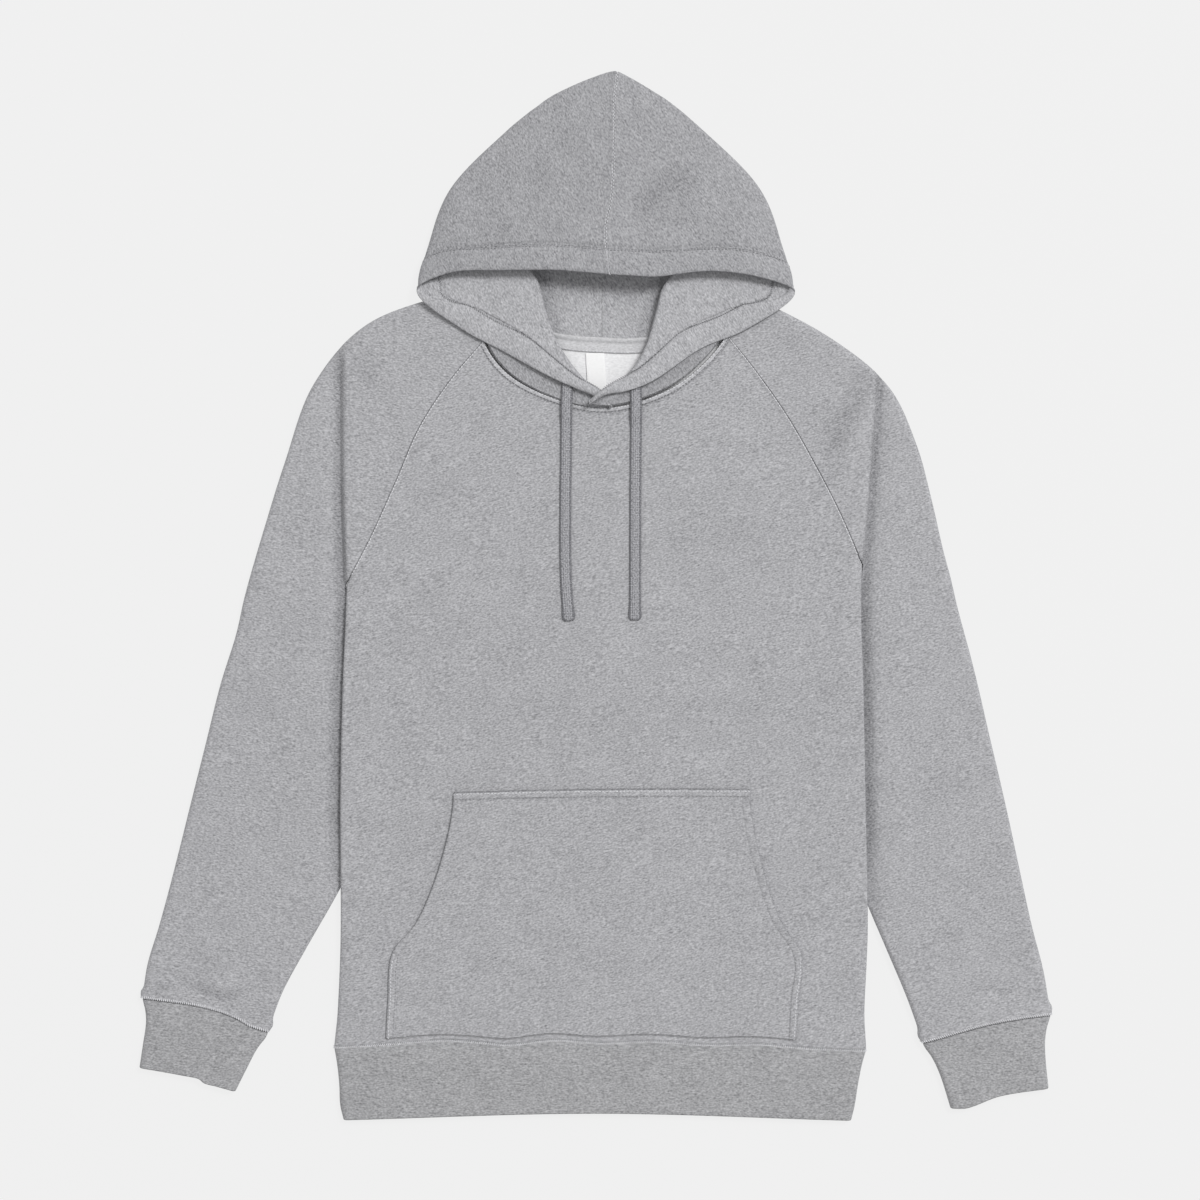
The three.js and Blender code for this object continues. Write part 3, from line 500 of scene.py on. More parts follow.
def finish_edge(table, axis, end, profile):
    """The table with new rows along one edge in place of its own, at the distances of a profile, which
    also gives their thickness and lift."""
    line, far = from_edge(table, axis, end)
    reach = profile[-1][0]
    keep = max(int(np.argmax(far.mean(1) > reach + 0.8)), 1)
    fit = np.minimum(1, 0.9 * far[keep] / reach)
    rows = []
    for distance, share, lift in profile:
        row = at_distance(line, far, distance * fit)
        row[:, 2] += lift
        row[:, 3] *= share
        rows.append(row)
    line = np.concatenate([np.array(rows), line[keep:]])
    line = line[::-1] if end else line
    return np.moveaxis(line, 0, axis)


def shape_near_edge(table, axis, end, profile):
    """The table with the thickness and lift that a profile gives at each point's distance from an edge."""
    line, far = from_edge(table, axis, end)
    distance, share, lift = np.array(profile).T
    line = line + 0.0
    line[..., 2] += np.interp(far, distance, lift)
    line[..., 3] *= np.interp(far, distance, share)
    return np.moveaxis(line[::-1] if end else line, 0, axis)


def with_thickness(grid, thickness):
    return np.dstack([grid, np.full(grid.shape[:2], thickness / 2)])


def body_panel(raglan, neck, neck_from, neck_to, level, other, columns, below=130, above=75):
    """The middle surface of a body panel: straight across between its side seams, then its raglan
    seams, with the neckline's and the hem's curves fading out from both ends. Its height is its level,
    and towards a closed side seam it rounds over to half way to the other panel."""
    row = np.arange(below + above + 1)
    up = np.clip((row - below) / above, 0, 1)
    down = 1 - np.clip(row / below, 0, 1)
    closed = 1 - smooth(up, 0, 0.07)
    ends = []
    for side, hem in zip(("left", "right"), HEM_ENDS):
        seam = along(SLEEVES[side][raglan], up)
        y = mix(hem[1], SLEEVES[side][raglan][0][1], 1 - down)
        straight = np.stack([edge_x(side, y), y], -1)
        ends.append(np.where(row[:, None] < below, straight, seam))
    left, right = ends
    whole = np.linalg.norm(right - left, axis=1)
    inset = np.sqrt(closed) * FOLD_INSET
    width = whole - 2 * inset
    d = bend(0.012, columns) * width[:, None]
    s = (d + inset[:, None]) / whole[:, None]
    plan = mix(left[:, None], right[:, None], s[..., None])
    corners = along(neck, np.array([neck_from, neck_to]))
    bow = along(neck, mix(neck_from, neck_to, s)) - mix(corners[0], corners[1], s[..., None])
    plan = plan + bow * (up**1.2)[:, None, None]
    plan[..., 1] += (HEM_BOW * 4 * s * (1 - s) + read(*HEM_WAVES, s)) * (down**2)[:, None]
    x, y = plan[..., 0], plan[..., 1]
    near = np.minimum(d, width[:, None] - d)
    high = level(x, y)
    middle = (high + other(x, y)) / 2
    seam = middle + np.sign(high - middle) * GAP
    shut = mix(seam, high, rounded(near, np.abs(high - middle)))
    return np.dstack([x, y, mix(high, shut, closed[:, None])])


# Grey marl: pale and dark fibres spun together, which show as short fine streaks across the cloth
marl_group, group_in, group_out = node_group(
    "marl yarn",
    [
        ("Vector", "NodeSocketVector", None),
        ("Dark", "NodeSocketColor", grey(120)),
        ("Light", "NodeSocketColor", grey(210)),
        ("Contrast", "NodeSocketFloat", 1.0),
        ("Shade", "NodeSocketFloat", 0.0),
    ],
    [("Color", "NodeSocketColor"), ("Height", "NodeSocketFloat")],
)


def noise(tree, vector, size, detail=1.0):
    """A noise from -0.5 to 0.5 whose features are about size = (x, y, z) millimetres."""
    scale = [1000 / length for length in size]
    scaled = add_node(tree, "ShaderNodeVectorMath", {0: vector, 1: scale}, operation="MULTIPLY")
    inputs = {"Vector": scaled.outputs[0], "Scale": 1.0, "Detail": detail}
    texture = add_node(tree, "ShaderNodeTexNoise", inputs)
    return calculate(tree, "SUBTRACT", texture.outputs[0], 0.5)


tree = marl_group
vector = group_in.outputs["Vector"]
yarns = noise(tree, vector, (2.2, 1.4, 1.4))
fibres = noise(tree, vector, (5.0, 1.1, 1.1))
clouds = noise(tree, vector, (30.0, 18.0, 18.0), 2.0)
tone = calculate(tree, "MULTIPLY", yarns, YARN_CONTRAST)
tone = calculate(tree, "MULTIPLY_ADD", fibres, FIBRE_CONTRAST, tone)
tone = calculate(tree, "MULTIPLY_ADD", clouds, CLOUD_CONTRAST, tone)
tone = calculate(tree, "MULTIPLY_ADD", tone, group_in.outputs["Contrast"], 0.5)
# Painted shade from the mesh lowers the tone, and painted light raises it
tone = calculate(tree, "SUBTRACT", tone, group_in.outputs["Shade"])
colour = add_node(
    tree,
    "ShaderNodeMix",
    {0: tone, 6: group_in.outputs["Dark"], 7: group_in.outputs["Light"]},
    data_type="RGBA",
    clamp_factor=True,
)
tree.links.new(colour.outputs[2], group_out.inputs["Color"])
tree.links.new(calculate(tree, "ADD", yarns, fibres), group_out.inputs["Height"])


def cloth_material(name, dark, light, turn=0.0, contrast=1.0, relief=0.0003):
    """Marl cloth with its yarn turned by an angle in degrees from the x axis, and its nap as a bump."""
    material = bpy.data.materials.new(name)
    material.use_nodes = True
    tree = material.node_tree
    shader = tree.nodes["Principled BSDF"]
    shader.inputs["Roughness"].default_value = 0.95
    shader.inputs["Specular IOR Level"].default_value = 0.12
    shader.inputs["Sheen Weight"].default_value = 0.1
    shader.inputs["Sheen Roughness"].default_value = 0.5
    place = add_node(tree, "ShaderNodeTexCoord")
    inputs = {"Vector": place.outputs["Object"], "Rotation": (0, 0, -np.radians(turn))}
    turned = add_node(tree, "ShaderNodeMapping", inputs)
    yarn = add_node(tree, "ShaderNodeGroup", node_tree=marl_group)
    tree.links.new(turned.outputs[0], yarn.inputs["Vector"])
    # Painted shade and painted light, from the mesh's shade attribute
    shade = add_node(tree, "ShaderNodeAttribute", attribute_name="shade")
    tree.links.new(shade.outputs["Fac"], yarn.inputs["Shade"])
    yarn.inputs["Dark"].default_value = grey(*dark)
    yarn.inputs["Light"].default_value = grey(*light)
    yarn.inputs["Contrast"].default_value = contrast
    bump = add_node(
        tree, "ShaderNodeBump", {"Height": yarn.outputs["Height"], "Strength": 0.35, "Distance": relief}
    )
    tree.links.new(yarn.outputs["Color"], shader.inputs["Base Color"])
    tree.links.new(bump.outputs[0], shader.inputs["Normal"])
    return material


def marl_cloth(name, turn, tone=MARL, blue=3):
    """The grey marl, with its yarn turned by an angle, at its own grey level or another."""
    return cloth_material(name, (tone - SPREAD, blue), (tone + SPREAD, blue), turn)


marl = marl_cloth("grey marl", 14)
fleece = cloth_material("white fleece", (224, 1), (254, 1))
thread = cloth_material("sewing thread", (MARL - 46, 3), (MARL + 18, 3))
# Stitches painted dark as the shade of the grooves they lie in
groove_shaded_thread = cloth_material("sewing thread with painted groove shade", (MARL - 78, 3), (MARL - 14, 3))
# Pale seam thread, painted paler still as the highlight on the raised seams beside it
pale_highlight_thread = cloth_material("pale seam thread with painted highlight", (MARL + 26, 3), (MARL + 90, 3))


def stitches(name, rows, material, pitch=3.3, length=2.5, radius=0.38, slant=0.0, lift=0.1):
    """Rows of machine stitches joined into one mesh. Each row is a line of points on the cloth; each
    stitch is a short rod with tapered ends: rings of five points at five places, whose radius goes as
    the square root of 1 - s^4."""
    s = np.linspace(-1, 1, 5)
    turns = np.linspace(0, 2 * np.pi, 6)[:-1]
    thick = radius * np.clip(1 - s**4, 0, 1) ** 0.5 + 0.02
    points, faces = [], []
    for line in rows:
        line = np.asarray(line)
        travelled = np.append(0, np.cumsum(np.linalg.norm(np.diff(line, axis=0), axis=1)))
        at = np.arange(pitch / 2, travelled[-1], pitch)
        centre = np.stack([np.interp(at, travelled, line[:, k]) for k in range(3)], -1)
        ahead = np.stack([np.interp(at + 0.5, travelled, line[:, k]) for k in range(3)], -1)
        back = np.stack([np.interp(at - 0.5, travelled, line[:, k]) for k in range(3)], -1)
        way = (ahead - back) / np.linalg.norm(ahead - back, axis=1, keepdims=True)
        side = np.cross(way, (0, 0, 1))
        side /= np.linalg.norm(side, axis=1, keepdims=True)
        way = np.cos(slant) * way + np.sin(slant) * side
        side = np.cross(way, (0, 0, 1))
        up = np.cross(side, way)
        ring = side[:, None] * np.cos(turns)[:, None] + up[:, None] * np.sin(turns)[:, None]
        rod = (
            centre[:, None, None]
            + (0, 0, lift)
            + way[:, None, None] * (s * length / 2)[:, None, None]
            + ring[:, None] * thick[:, None, None]
        )
        points.append(rod.reshape(-1, 3))
    points = np.vstack(points)
    count = len(points) // 25
    ring = np.arange(5)
    sides = np.stack([ring, np.roll(ring, -1), np.roll(ring, -1) + 5, ring + 5], -1)
    rod_sides = np.concatenate([sides + 5 * k for k in range(4)])
    for k in range(count):
        faces.extend((rod_sides + 25 * k).tolist())
        faces.append((ring[::-1] + 25 * k).tolist())
        faces.append((ring + 20 + 25 * k).tolist())
    mesh = bpy.data.meshes.new(name)
    mesh.from_pydata((points * 0.001).tolist(), [], faces)
    mesh.polygons.foreach_set("use_smooth", np.ones(len(faces), bool))
    mesh.materials.append(material)
    piece = bpy.data.objects.new(name, mesh)
    bpy.context.scene.collection.objects.link(piece)
    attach(piece, "root")
    return piece


def stitch_line(table, axis, end, distance, start=0.0, stop=1.0, ring=False, face=1):
    """The line of points on the outer face of a piece (1) or its inner face (-1), at a distance from one
    of its edges."""
    surface = np.dstack([table[..., :3] + face * facing(table, ring) * table[..., 3:], table[..., 3]])
    line = at_distance(*from_edge(surface, axis, end), distance)[:, :3]
    return line[int(start * len(line)) : int(stop * len(line))]


NECK_ROW = 5.2  # distance of the neck's row of stitches from its seam
SEAM_ROW = 2.0  # distance of the stitches that show beside a seam
RAGLAN_START = 0.64  # share of the side's rows below the raglan seams
table = with_thickness(body_panel("front", FRONT_NECK, 0.2, 0.8, body_high, body_low, 120), CLOTH)
table = finish_edge(table, 0, 0, SEAM_EDGE)
table = finish_edge(table, 0, 1, stitched_edge(NECK_ROW, depth=0.5))
table = finish_edge(table, 1, 0, SEAM_EDGE)
table = finish_edge(table, 1, 1, SEAM_EDGE)
# Painted light between the seam and the row of stitches, and painted shade in the groove that the stitches
# lie in
NECK_SHADE = [(0.5, 0), (1.0, -0.14), (3.8, -0.14), (4.8, 0.2), (5.8, 0.2), (6.8, 0)]
shade = crease_shadow(table[..., 0], table[..., 1], CREASES) + shade_near_edge(table, 0, 1, NECK_SHADE)
front_panel = wall("front", table, [marl, fleece], shade=shade)
put(front_panel, "front_panel")
neck_rows = [stitch_line(table, 0, 1, NECK_ROW)]
front_stitches = stitches("front_topstitching", neck_rows, groove_shaded_thread)
seam_rows = [stitch_line(table, 0, 1, SEAM_ROW)]
seam_rows += [stitch_line(table, 1, end, SEAM_ROW, RAGLAN_START) for end in (0, 1)]
seam_stitches = stitches(
    "front_seam_stitches", seam_rows, pale_highlight_thread, pitch=3.1, length=2.8, radius=0.55
)

# Back panel
# The back of the body, of the same cloth. It lies on the surface, except where the arms are tucked under
# it, and its fleece shows through the neck.
table = with_thickness(body_panel("back", BACK_NECK, 0.25, 0.75, body_low, body_high, 90, 100, 60), CLOTH)
for axis, end in ((0, 0), (0, 1), (1, 0), (1, 1)):
    table = finish_edge(table, axis, end, CUT_EDGE)
back_panel = wall("back", table, [fleece, marl])
put(back_panel, "back_panel")

# Pocket
# A kangaroo pocket laid on the front, sewn along its top and its short straight sides and into the hem
# seam. Its two curved openings are turned in, stitched down and left free.
POCKET = {
    "left": [
        (-198.6, -421), (-196.7, -385), (-192.5, -339), (-171, -312), (-152, -270), (-137, -214),
        (-134, -186),
    ],
    "right": [
        (191.2, -421), (193.4, -384), (196.4, -342), (176, -308), (158, -254), (148.6, -207),
        (146.7, -183),
    ],
}
POCKET_ON_HEM = (0.1, 0.88)  # where its lower corners are on the hem seam, as shares of its width
POCKET_ROW = 8  # distances of its two rows of stitches from its edges
POCKET_EDGE_ROW = 3.4
POCKET_OPENING = 0.36  # share of the sides' rows below the openings
LIP = 1.8  # how far the edges of the openings stand up
t = np.linspace(0, 1, 80)
s = np.linspace(0, 1, 110)
left, right = along(POCKET["left"], t), along(POCKET["right"], t)
plan = mix(left[:, None], right[:, None], s[None, :, None])
at_hem = (1 - t[:, None]) ** 3
plan[..., 1] += 1.5 * np.sin(np.pi * s) * t[:, None]
on_hem = mix(*POCKET_ON_HEM, s)
plan[..., 1] += (HEM_BOW * 4 * on_hem * (1 - on_hem) - 2.5 + read(*HEM_WAVES, on_hem)) * at_hem
lip = LIP * (np.exp(-s / 0.02) + np.exp(-(1 - s) / 0.02)) * np.exp(-(((t[:, None] - 0.66) / 0.2) ** 2))
height = body_high(plan[..., 0], plan[..., 1]) + CLOTH + GAP + lip
table = with_thickness(np.dstack([plan, height]), CLOTH)
table = finish_edge(table, 0, 0, CUT_EDGE)
for axis, end in ((0, 1), (1, 0), (1, 1)):
    table = finish_edge(table, axis, end, stitched_edge(POCKET_ROW))
# Painted shade under its turned top edge, painted light up to the stitches and painted shade in their
# groove
TOP_SHADE = [(0.5, 0.4), (1.6, 0), (1.8, -0.05), (6, -0.05), (7.4, 0.08), (8.4, 0.08), (9.4, 0)]
pocket = wall("kangaroo_pocket", table, [marl, fleece], shade=shade_near_edge(table, 0, 1, TOP_SHADE))
put(pocket, "pocket")
pocket_rows, edge_rows = (
    [stitch_line(table, 0, 1, row)] + [stitch_line(table, 1, end, row, 0, POCKET_OPENING) for end in (0, 1)]
    for row in (POCKET_ROW, POCKET_EDGE_ROW)
)
pocket_stitches = stitches("pocket_topstitching", pocket_rows, thread)
edge_stitches = stitches("pocket_edge_stitches", edge_rows, pale_highlight_thread, length=2.8, radius=0.45)

# Sleeves
# Each raglan sleeve is one piece of cloth, folded flat, with its seam under the arm. Its inner fold is
# tucked under the body, and a deep crease runs down it beside the body's edge.
TROUGH_WIDTH = {"left": 13.0, "right": 11.0}
EDGE_OVERHANG = 1.5  # the crease starts this far inside the body's edge
CREASE_SHADE = 0.2  # painted shade at the bottom of the crease
SLEEVE_CREASES = [
    ([(-390, -366), (-370, -376), (-348, -381), (-334, -378)], 2.2, 6),
    ([(-372, -362), (-350, -366), (-330, -362)], -1.0, 7),
    ([(-398, -330), (-372, -348), (-350, -352)], 0.6, 9),
    ([(352, -380), (372, -374), (398, -378)], 0.7, 7),
    ([(-320, -80), (-300, -140), (-292, -200)], 0.5, 14),
    ([(330, -100), (318, -160), (322, -220)], 0.5, 14),
    ([(-392, -230), (-360, -252), (-330, -246)], 0.4, 12),
    ([(395, -250), (362, -270), (330, -262)], 0.4, 12),
]
# Heights in plan that the cuff seams' waves add, from the inner fold of the sleeve to the outer one
CUFF_WAVES = {
    "left": ([0, 0.14, 0.25, 0.39, 0.58, 0.8, 1], [0, 0.5, 4.6, 6.8, 6.4, 3.3, 0]),
    "right": ([0, 0.14, 0.3, 0.5, 0.75, 1], [0, 0.5, 2, 3.5, 2.5, 0]),
}


def sleeve_high(side, x, y):
    """Height of the top layer: the body's own inside the body's edge, above the armhole; pressed flat
    where the body lies on it; and outside the edge a trough with a bell's slope."""
    outside = OUTWARDS[side] * (x - edge_x(side, y))
    top = SLEEVES[side]["front"][0][1]
    above = smooth(y, top - 26, top)
    shoulder = smooth(y, 205, 245)
    inner = mix(PRESSED, body_high(x, y), above)
    trough = mix(HIGH - PRESSED, 5.0, above) * (1 - shoulder)
    lie = 0.35 * waves(x, y, 80, 11) + 0.2 * waves(x, y, 36, 12) + creases(x, y, SLEEVE_CREASES)
    outside = outside + EDGE_OVERHANG
    outer = HIGH + lie * smooth(outside, 5, 40)
    outer -= trough * np.exp(-((np.maximum(outside, 0) / TROUGH_WIDTH[side]) ** 2))
    return mix(inner, outer, smooth(outside, 0, 4))


def crease_shade(side, table):
    """Painted shade on the top layer in the crease beside the body's edge, for the shadow of its deep
    narrow bottom, fading out at the shoulder and above the cuff; with the painted shade of the other
    creases."""
    x, y, z = table[..., 0], table[..., 1], table[..., 2]
    outside = OUTWARDS[side] * (x - edge_x(side, y))
    width = TROUGH_WIDTH[side] * mix(1.0, 0.8, smooth(y, 30, 180))
    across = smooth(outside, -2.5, 0) * (1 - smooth(outside, 0.35 * width, 1.25 * width))
    lengthwise = smooth(y, -300, -200) * (1 - smooth(y, 215, 245)) * (z > LOW + CLOTH / 2)
    return CREASE_SHADE * across * lengthwise + crease_shadow(x, y, CREASES + SLEEVE_CREASES)


def sleeve_layer(side, start, end, closed, up, neck, corner, shoulder, level, other, unit):
    """One layer of a sleeve from its inner seam or fold to its outer fold: straight across in plan with
    the neckline's curve fading out below it, at its level, rounded over at both folds."""
    inset = np.sqrt(closed) * FOLD_INSET
    whole = np.linalg.norm(end - start, axis=1)
    width = whole - CLOTH / 2 - inset
    d = unit * width[:, None]
    s = (d + inset[:, None]) / whole[:, None]
    plan = mix(start[:, None], end[:, None], s[..., None])
    ends = along(neck, np.array([corner, shoulder]))
    bow = along(neck, mix(corner, shoulder, s)) - mix(ends[0], ends[1], s[..., None])
    plan = plan + bow * (up**4)[:, None, None]
    down = np.clip(1 - np.arange(len(start)) / ROWS_BELOW, 0, 1)
    plan[..., 1] += read(*CUFF_WAVES[side], s) * (down**4)[:, None]
    x, y = plan[..., 0], plan[..., 1]
    high = level(x, y)
    middle = (high + other(x, y)) / 2
    radius = np.abs(high - middle)
    seam = middle + np.sign(high - middle) * GAP
    at_seam = mix(high, mix(seam, high, rounded(d, radius)), closed[:, None])
    return np.dstack([x, y, mix(middle, at_seam, rounded(width[:, None] - d, radius))])


SLEEVE_NECK = {"left": (0.2, 0.25, 0), "right": (0.8, 0.75, 1)}
SLEEVE_TURN = {"left": -8, "right": 14}
ROWS_BELOW = 130
ROWS_ABOVE = 80
SEAM_LENGTH = 420  # about the length of the underarm seam
CUFF_SWELL = 2.6
OVERLOCK_ROW = 2.2  # distance of the overlock stitches from the cuff's seam
for side, seams in SLEEVES.items():
    row = np.arange(ROWS_BELOW + ROWS_ABOVE + 1)
    below, up = np.clip(row / ROWS_BELOW, 0, 1), np.clip((row - ROWS_BELOW) / ROWS_ABOVE, 0, 1)
    closed = 1 - smooth(up, 0, 0.07)
    split = (len(seams["underarm"]) - 1) / (len(seams["outer"]) - 1)
    end = along(seams["outer"], np.where(up > 0, mix(split, 1, up), below * split))
    under = along(seams["underarm"], below)
    # The end of the sleeve swells out beside the cuff seam
    swell = CUFF_SWELL * np.exp(-(((below * SEAM_LENGTH - 7) / 6) ** 2))[:, None]
    out = (end - under) / np.linalg.norm(end - under, axis=1, keepdims=True)
    end, under = end + out * swell, under - out * swell
    corner_front, corner_back, shoulder = SLEEVE_NECK[side]

    def top(x, y):
        return sleeve_high(side, x, y)

    def bottom(x, y):
        return LOW + 0 * x

    front = np.where(up[:, None] > 0, along(seams["front"], up), under)
    back = np.where(up[:, None] > 0, along(seams["back"], up), under)
    upper = sleeve_layer(
        side, front, end, closed, up, FRONT_NECK, corner_front, shoulder, top, bottom, bend(0.03, 76)
    )
    lower = sleeve_layer(
        side, back, end, closed, up, BACK_NECK, corner_back, shoulder, bottom, top, bend(0.03, 24)
    )
    grid = np.concatenate([upper, lower[:, ::-1][:, 1:]], axis=1)
    table = with_thickness(grid if side == "right" else grid[:, ::-1], CLOTH)
    table = finish_edge(table, 0, 0, SEAM_EDGE)
    table = finish_edge(table, 0, 1, CUT_EDGE)
    table = finish_edge(table, 1, 0, CUT_EDGE)
    table = finish_edge(table, 1, 1, CUT_EDGE)
    cloth = marl_cloth(f"grey marl {side} sleeve", SLEEVE_TURN[side])
    arm = wall(f"arm_{side}", table, [cloth, fleece], shade=crease_shade(side, table))
    put(arm, f"sleeve_{side}")
    rows = [stitch_line(table, 0, 0, OVERLOCK_ROW)]
    name = f"cuff_seam_stitches_{side}"
    overlock = stitches(name, rows, pale_highlight_thread, pitch=2.0, length=3.4, radius=0.5, slant=1.1)

# Ribbed hem and cuffs
# Each is a tube of rib knit, folded double along its free end and sewn to the cloth with an overlocked
# seam that shows as a paler line: pale thread, partly painted highlight.
RIB_HIGH = 8.8
RIBBED = {
    "hem_band": {
        "start": [(-239, -498), (-242.3, -484), (-243.2, -465), (-245.1, -446), (-248.2, -428)],
        "end": [(243.5, -498.5), (247, -484), (250, -465), (253.7, -446), (258, -431)],
        "free": ([0, 0.5, 1], [0, HEM_BOW, 0]),
        "seam": HEM_WAVES,
        "bow": HEM_BOW,
        "columns": 140,
        "flat": (1.0, 0.072),
    },
    "cuff_left": {
        "start": [(-342, -471), (-331, -449), (-321, -430), (-313, -419.5), (-310.6, -414.2)],
        "end": [(-433.2, -448.4), (-430, -427), (-427, -406), (-427.5, -395), (-430.3, -382.3)],
        "free": ([0, 0.2, 0.32, 0.38, 0.55, 0.8, 1], [0, 0.6, 0.8, 3.6, 3, 1.5, 0]),
        "seam": CUFF_WAVES["left"],
        "bow": 0,
        "columns": 60,
        "flat": (0.22, 0.072),
    },
    "cuff_right": {
        "start": [(338.2, -487), (328, -455), (320, -438), (313.5, -429), (311.3, -424.7)],
        "end": [(431.3, -468), (428.6, -442), (428, -424), (429.5, -411), (433.2, -398.3)],
        "free": ([0, 0.17, 0.5, 1], [0, -2.7, 2.2, 0]),
        "seam": CUFF_WAVES["right"],
        "bow": 0,
        "columns": 60,
        "flat": (0.22, 0.072),
    },
}
HEM_OVERLOCK_ROW = 1.5
rib = marl_cloth("grey marl rib", 0, MARL - 8, blue=2)


def ribbed_tube(shape):
    """A flattened tube between its two folded edges, from its free end to its seam: two level layers,
    joined by half circles at the folds, with each end's own waves in plan."""
    t = np.linspace(0, 1, 30)
    start, end = along(shape["start"], t), along(shape["end"], t)
    inset = RIB / 2
    whole = np.linalg.norm(end - start, axis=1)[:, None]
    d = bend(4 / whole.mean(), shape["columns"]) * (whole - 2 * inset)
    s = (d + inset) / whole
    plan = mix(start[:, None], end[:, None], s[..., None])
    seam = read(*shape["seam"], s) + shape["bow"] * 4 * s * (1 - s)
    plan[..., 1] += mix(read(*shape["free"], s), seam, smooth(t, 0, 1)[:, None])
    lie = 0.25 * waves(plan[..., 0], plan[..., 1], 40, 21) * np.sin(np.pi * t)[:, None] ** 0.5
    high, low = mix(RIB_HIGH, HIGH, t)[:, None] + lie, RIB / 2
    middle, radius = (high + low) / 2, (high - low) / 2
    part = rounded(np.minimum(d, whole - 2 * inset - d), radius)
    upper = np.dstack([plan, mix(middle, high, part)])
    lower = np.dstack([plan, mix(middle, low, part)])
    return np.concatenate([upper, lower[:, ::-1][:, 1:]], axis=1)


for node, shape in RIBBED.items():
    table = with_thickness(ribbed_tube(shape), RIB)
    table = finish_edge(table, 0, 0, FOLDED_EDGE)
    table = finish_edge(table, 0, 1, CUT_EDGE)
    band = wall(f"ribbed_{node}", table, [rib], ring=True)
    put(band, node)
    if node == "hem_band":
        rows = [stitch_line(table, 0, 1, HEM_OVERLOCK_ROW, ring=True)]
        overlock = stitches(
            "hem_overlock", rows, pale_highlight_thread, pitch=1.8, length=3.4, radius=0.5, slant=1.1
        )

# Hood
# Two halves of doubled marl cloth, sewn together along one seam that runs up the back, round the tip
# and down over the top. The edge of the face opening is a hem that the drawcord runs in.
HOOD_AXIS = 9.7
HEM_DEPTH = 26.0  # how far the hem's two rows of stitches are from the edge of the face opening
SEAM_BACK = [(6.6, 244.2), (6.6, 290), (7.6, 340), (8.5, 385), (9.5, 424)]
SEAM_TOP = [(9.5, 424), (13, 462), (20.9, 497.5), (18.2, 467)]
SEAM_TOP += [(18.2, 429), (15.5, 377), (10, 346), (13.6, 303)]
SEAM_AT = [0, 0.1, 0.18, 2 / 7, 1]  # where the folds end on the top seam: the third at the tip
# The folds and the edge of a half at sections from the neck (0) to the top seam (1): distances out from
# the axis, and heights in plan. The layers lie between them: back, collar, side and top.
HOOD_AT = [0, 0.07, 0.15, 0.3, 0.45, 0.6, 0.7, 0.8, 0.9]
TURN = [(114, 300), (117, 304), (118, 308), (117.8, 317), (113, 326), (107, 333), (99, 342)]
TURN += [(82, 352), (48, 385)]
HOOD_FOLDS = {
    "left": {
        "turn": TURN,
        "roll": [
            (-5.7, 178.6), (5.5, 194.8), (22.5, 207), (45.5, 239.5), (57, 269), (65.6, 300),
            (86, 331), (101, 355), (66, 405),
        ],
        "side": [
            (1.9, 186), (18, 196.5), (39, 211), (77, 247), (115, 270), (173, 288), (166.3, 335),
            (142.5, 392), (77, 457),
        ],
        "edge": [
            (8.6, 192), (29, 198), (54, 208.5), (96, 231.5), (137.5, 254), (178.5, 288),
            (146, 305.5), (98, 307.3), (47.5, 307.5),
        ],
    },
    "right": {
        "turn": TURN,
        "roll": [
            (-17, 181.5), (3, 197.5), (21.5, 209.5), (39, 236), (49.5, 271), (58, 297), (86, 331),
            (101, 355), (66, 405),
        ],
        "side": [
            (-9.5, 188.5), (12, 196), (34, 208), (72, 249), (113, 271), (173.5, 287), (166.3, 335),
            (142.5, 392), (77, 457),
        ],
        "edge": [
            (-2.8, 194.5), (20, 194.5), (46.5, 204.5), (90, 234), (135, 253.5), (179.5, 286),
            (148, 300.5), (100, 306.4), (46.5, 300.5),
        ],
    },
}
# Heights of the layers' middles at the same sections and at the top seam, at both ends of each layer
HEIGHTS_AT = [*HOOD_AT, 1]
HOOD_HEIGHTS = {
    "back": ([3.4, 2, 1, 1, 1, 1, 1, 1, 1, 1], [3.4, 2, 1, 1, 1, 1, 1, 1, 1, 1]),
    "collar": (
        [11.4, 11.3, 11, 10, 8.5, 7.5, 6, 3.5, 1.5, 1],
        [11.4, 11.4, 11.4, 11.2, 10.5, 9.5, 8, 5, 2.5, 1],
    ),
    "side": (
        [14, 16.4, 16.4, 15, 14.5, 13.5, 11.5, 7, 3, 1],
        [14, 16.4, 16.4, 14.4, 13.8, 12.2, 5, 2, 1.3, 1],
    ),
    "top": (
        [14, 16.4, 16.4, 14.4, 13.8, 15, 12, 9, 7, 5.5],
        [14, 16.4, 16.2, 13.6, 12.8, 17, 22, 26, 28, 29],
    ),
}
LAP_LIFT = 6.8  # the right half lies this much higher where it laps over the left one,
LAP_EDGE = 6  # and comes down from this distance out from the axis
LAP_ENDS = (12, 22)  # to these, at the neck seam and above it
LAP_AT_NECK = 0.72  # share of the lift at the neck seam, where both are sewn down
LAP_FADE = (0.08, 0.15)  # it comes down again between these sections,
NECK_FADE = 0.3  # the neckline's bow fades out up to this one,
CROWN_FADE = (0.6, 0.8)  # the top swells up between these,
LIE_FADE = (0.6, 0.75)  # its creases come in between these,
TOP_FADE = (0.88, 1)  # and the folds come together on the top seam between these
FOLD_REACH = 6  # width over which a layer is rounded beside its folds
LAYER_COUNTS = (34, 40, 60, 150)  # columns across each layer
NECK_MIDDLE = 7.0  # x of the lowest point of the front neck
NECK_SPAN = 590.0  # how far the front neck would span if it kept its slope at that point
TOP_CROWN = 3.0
TIP_SWELL = {"left": 6.2, "right": 2.8}  # how far the outline swells out beside the tip
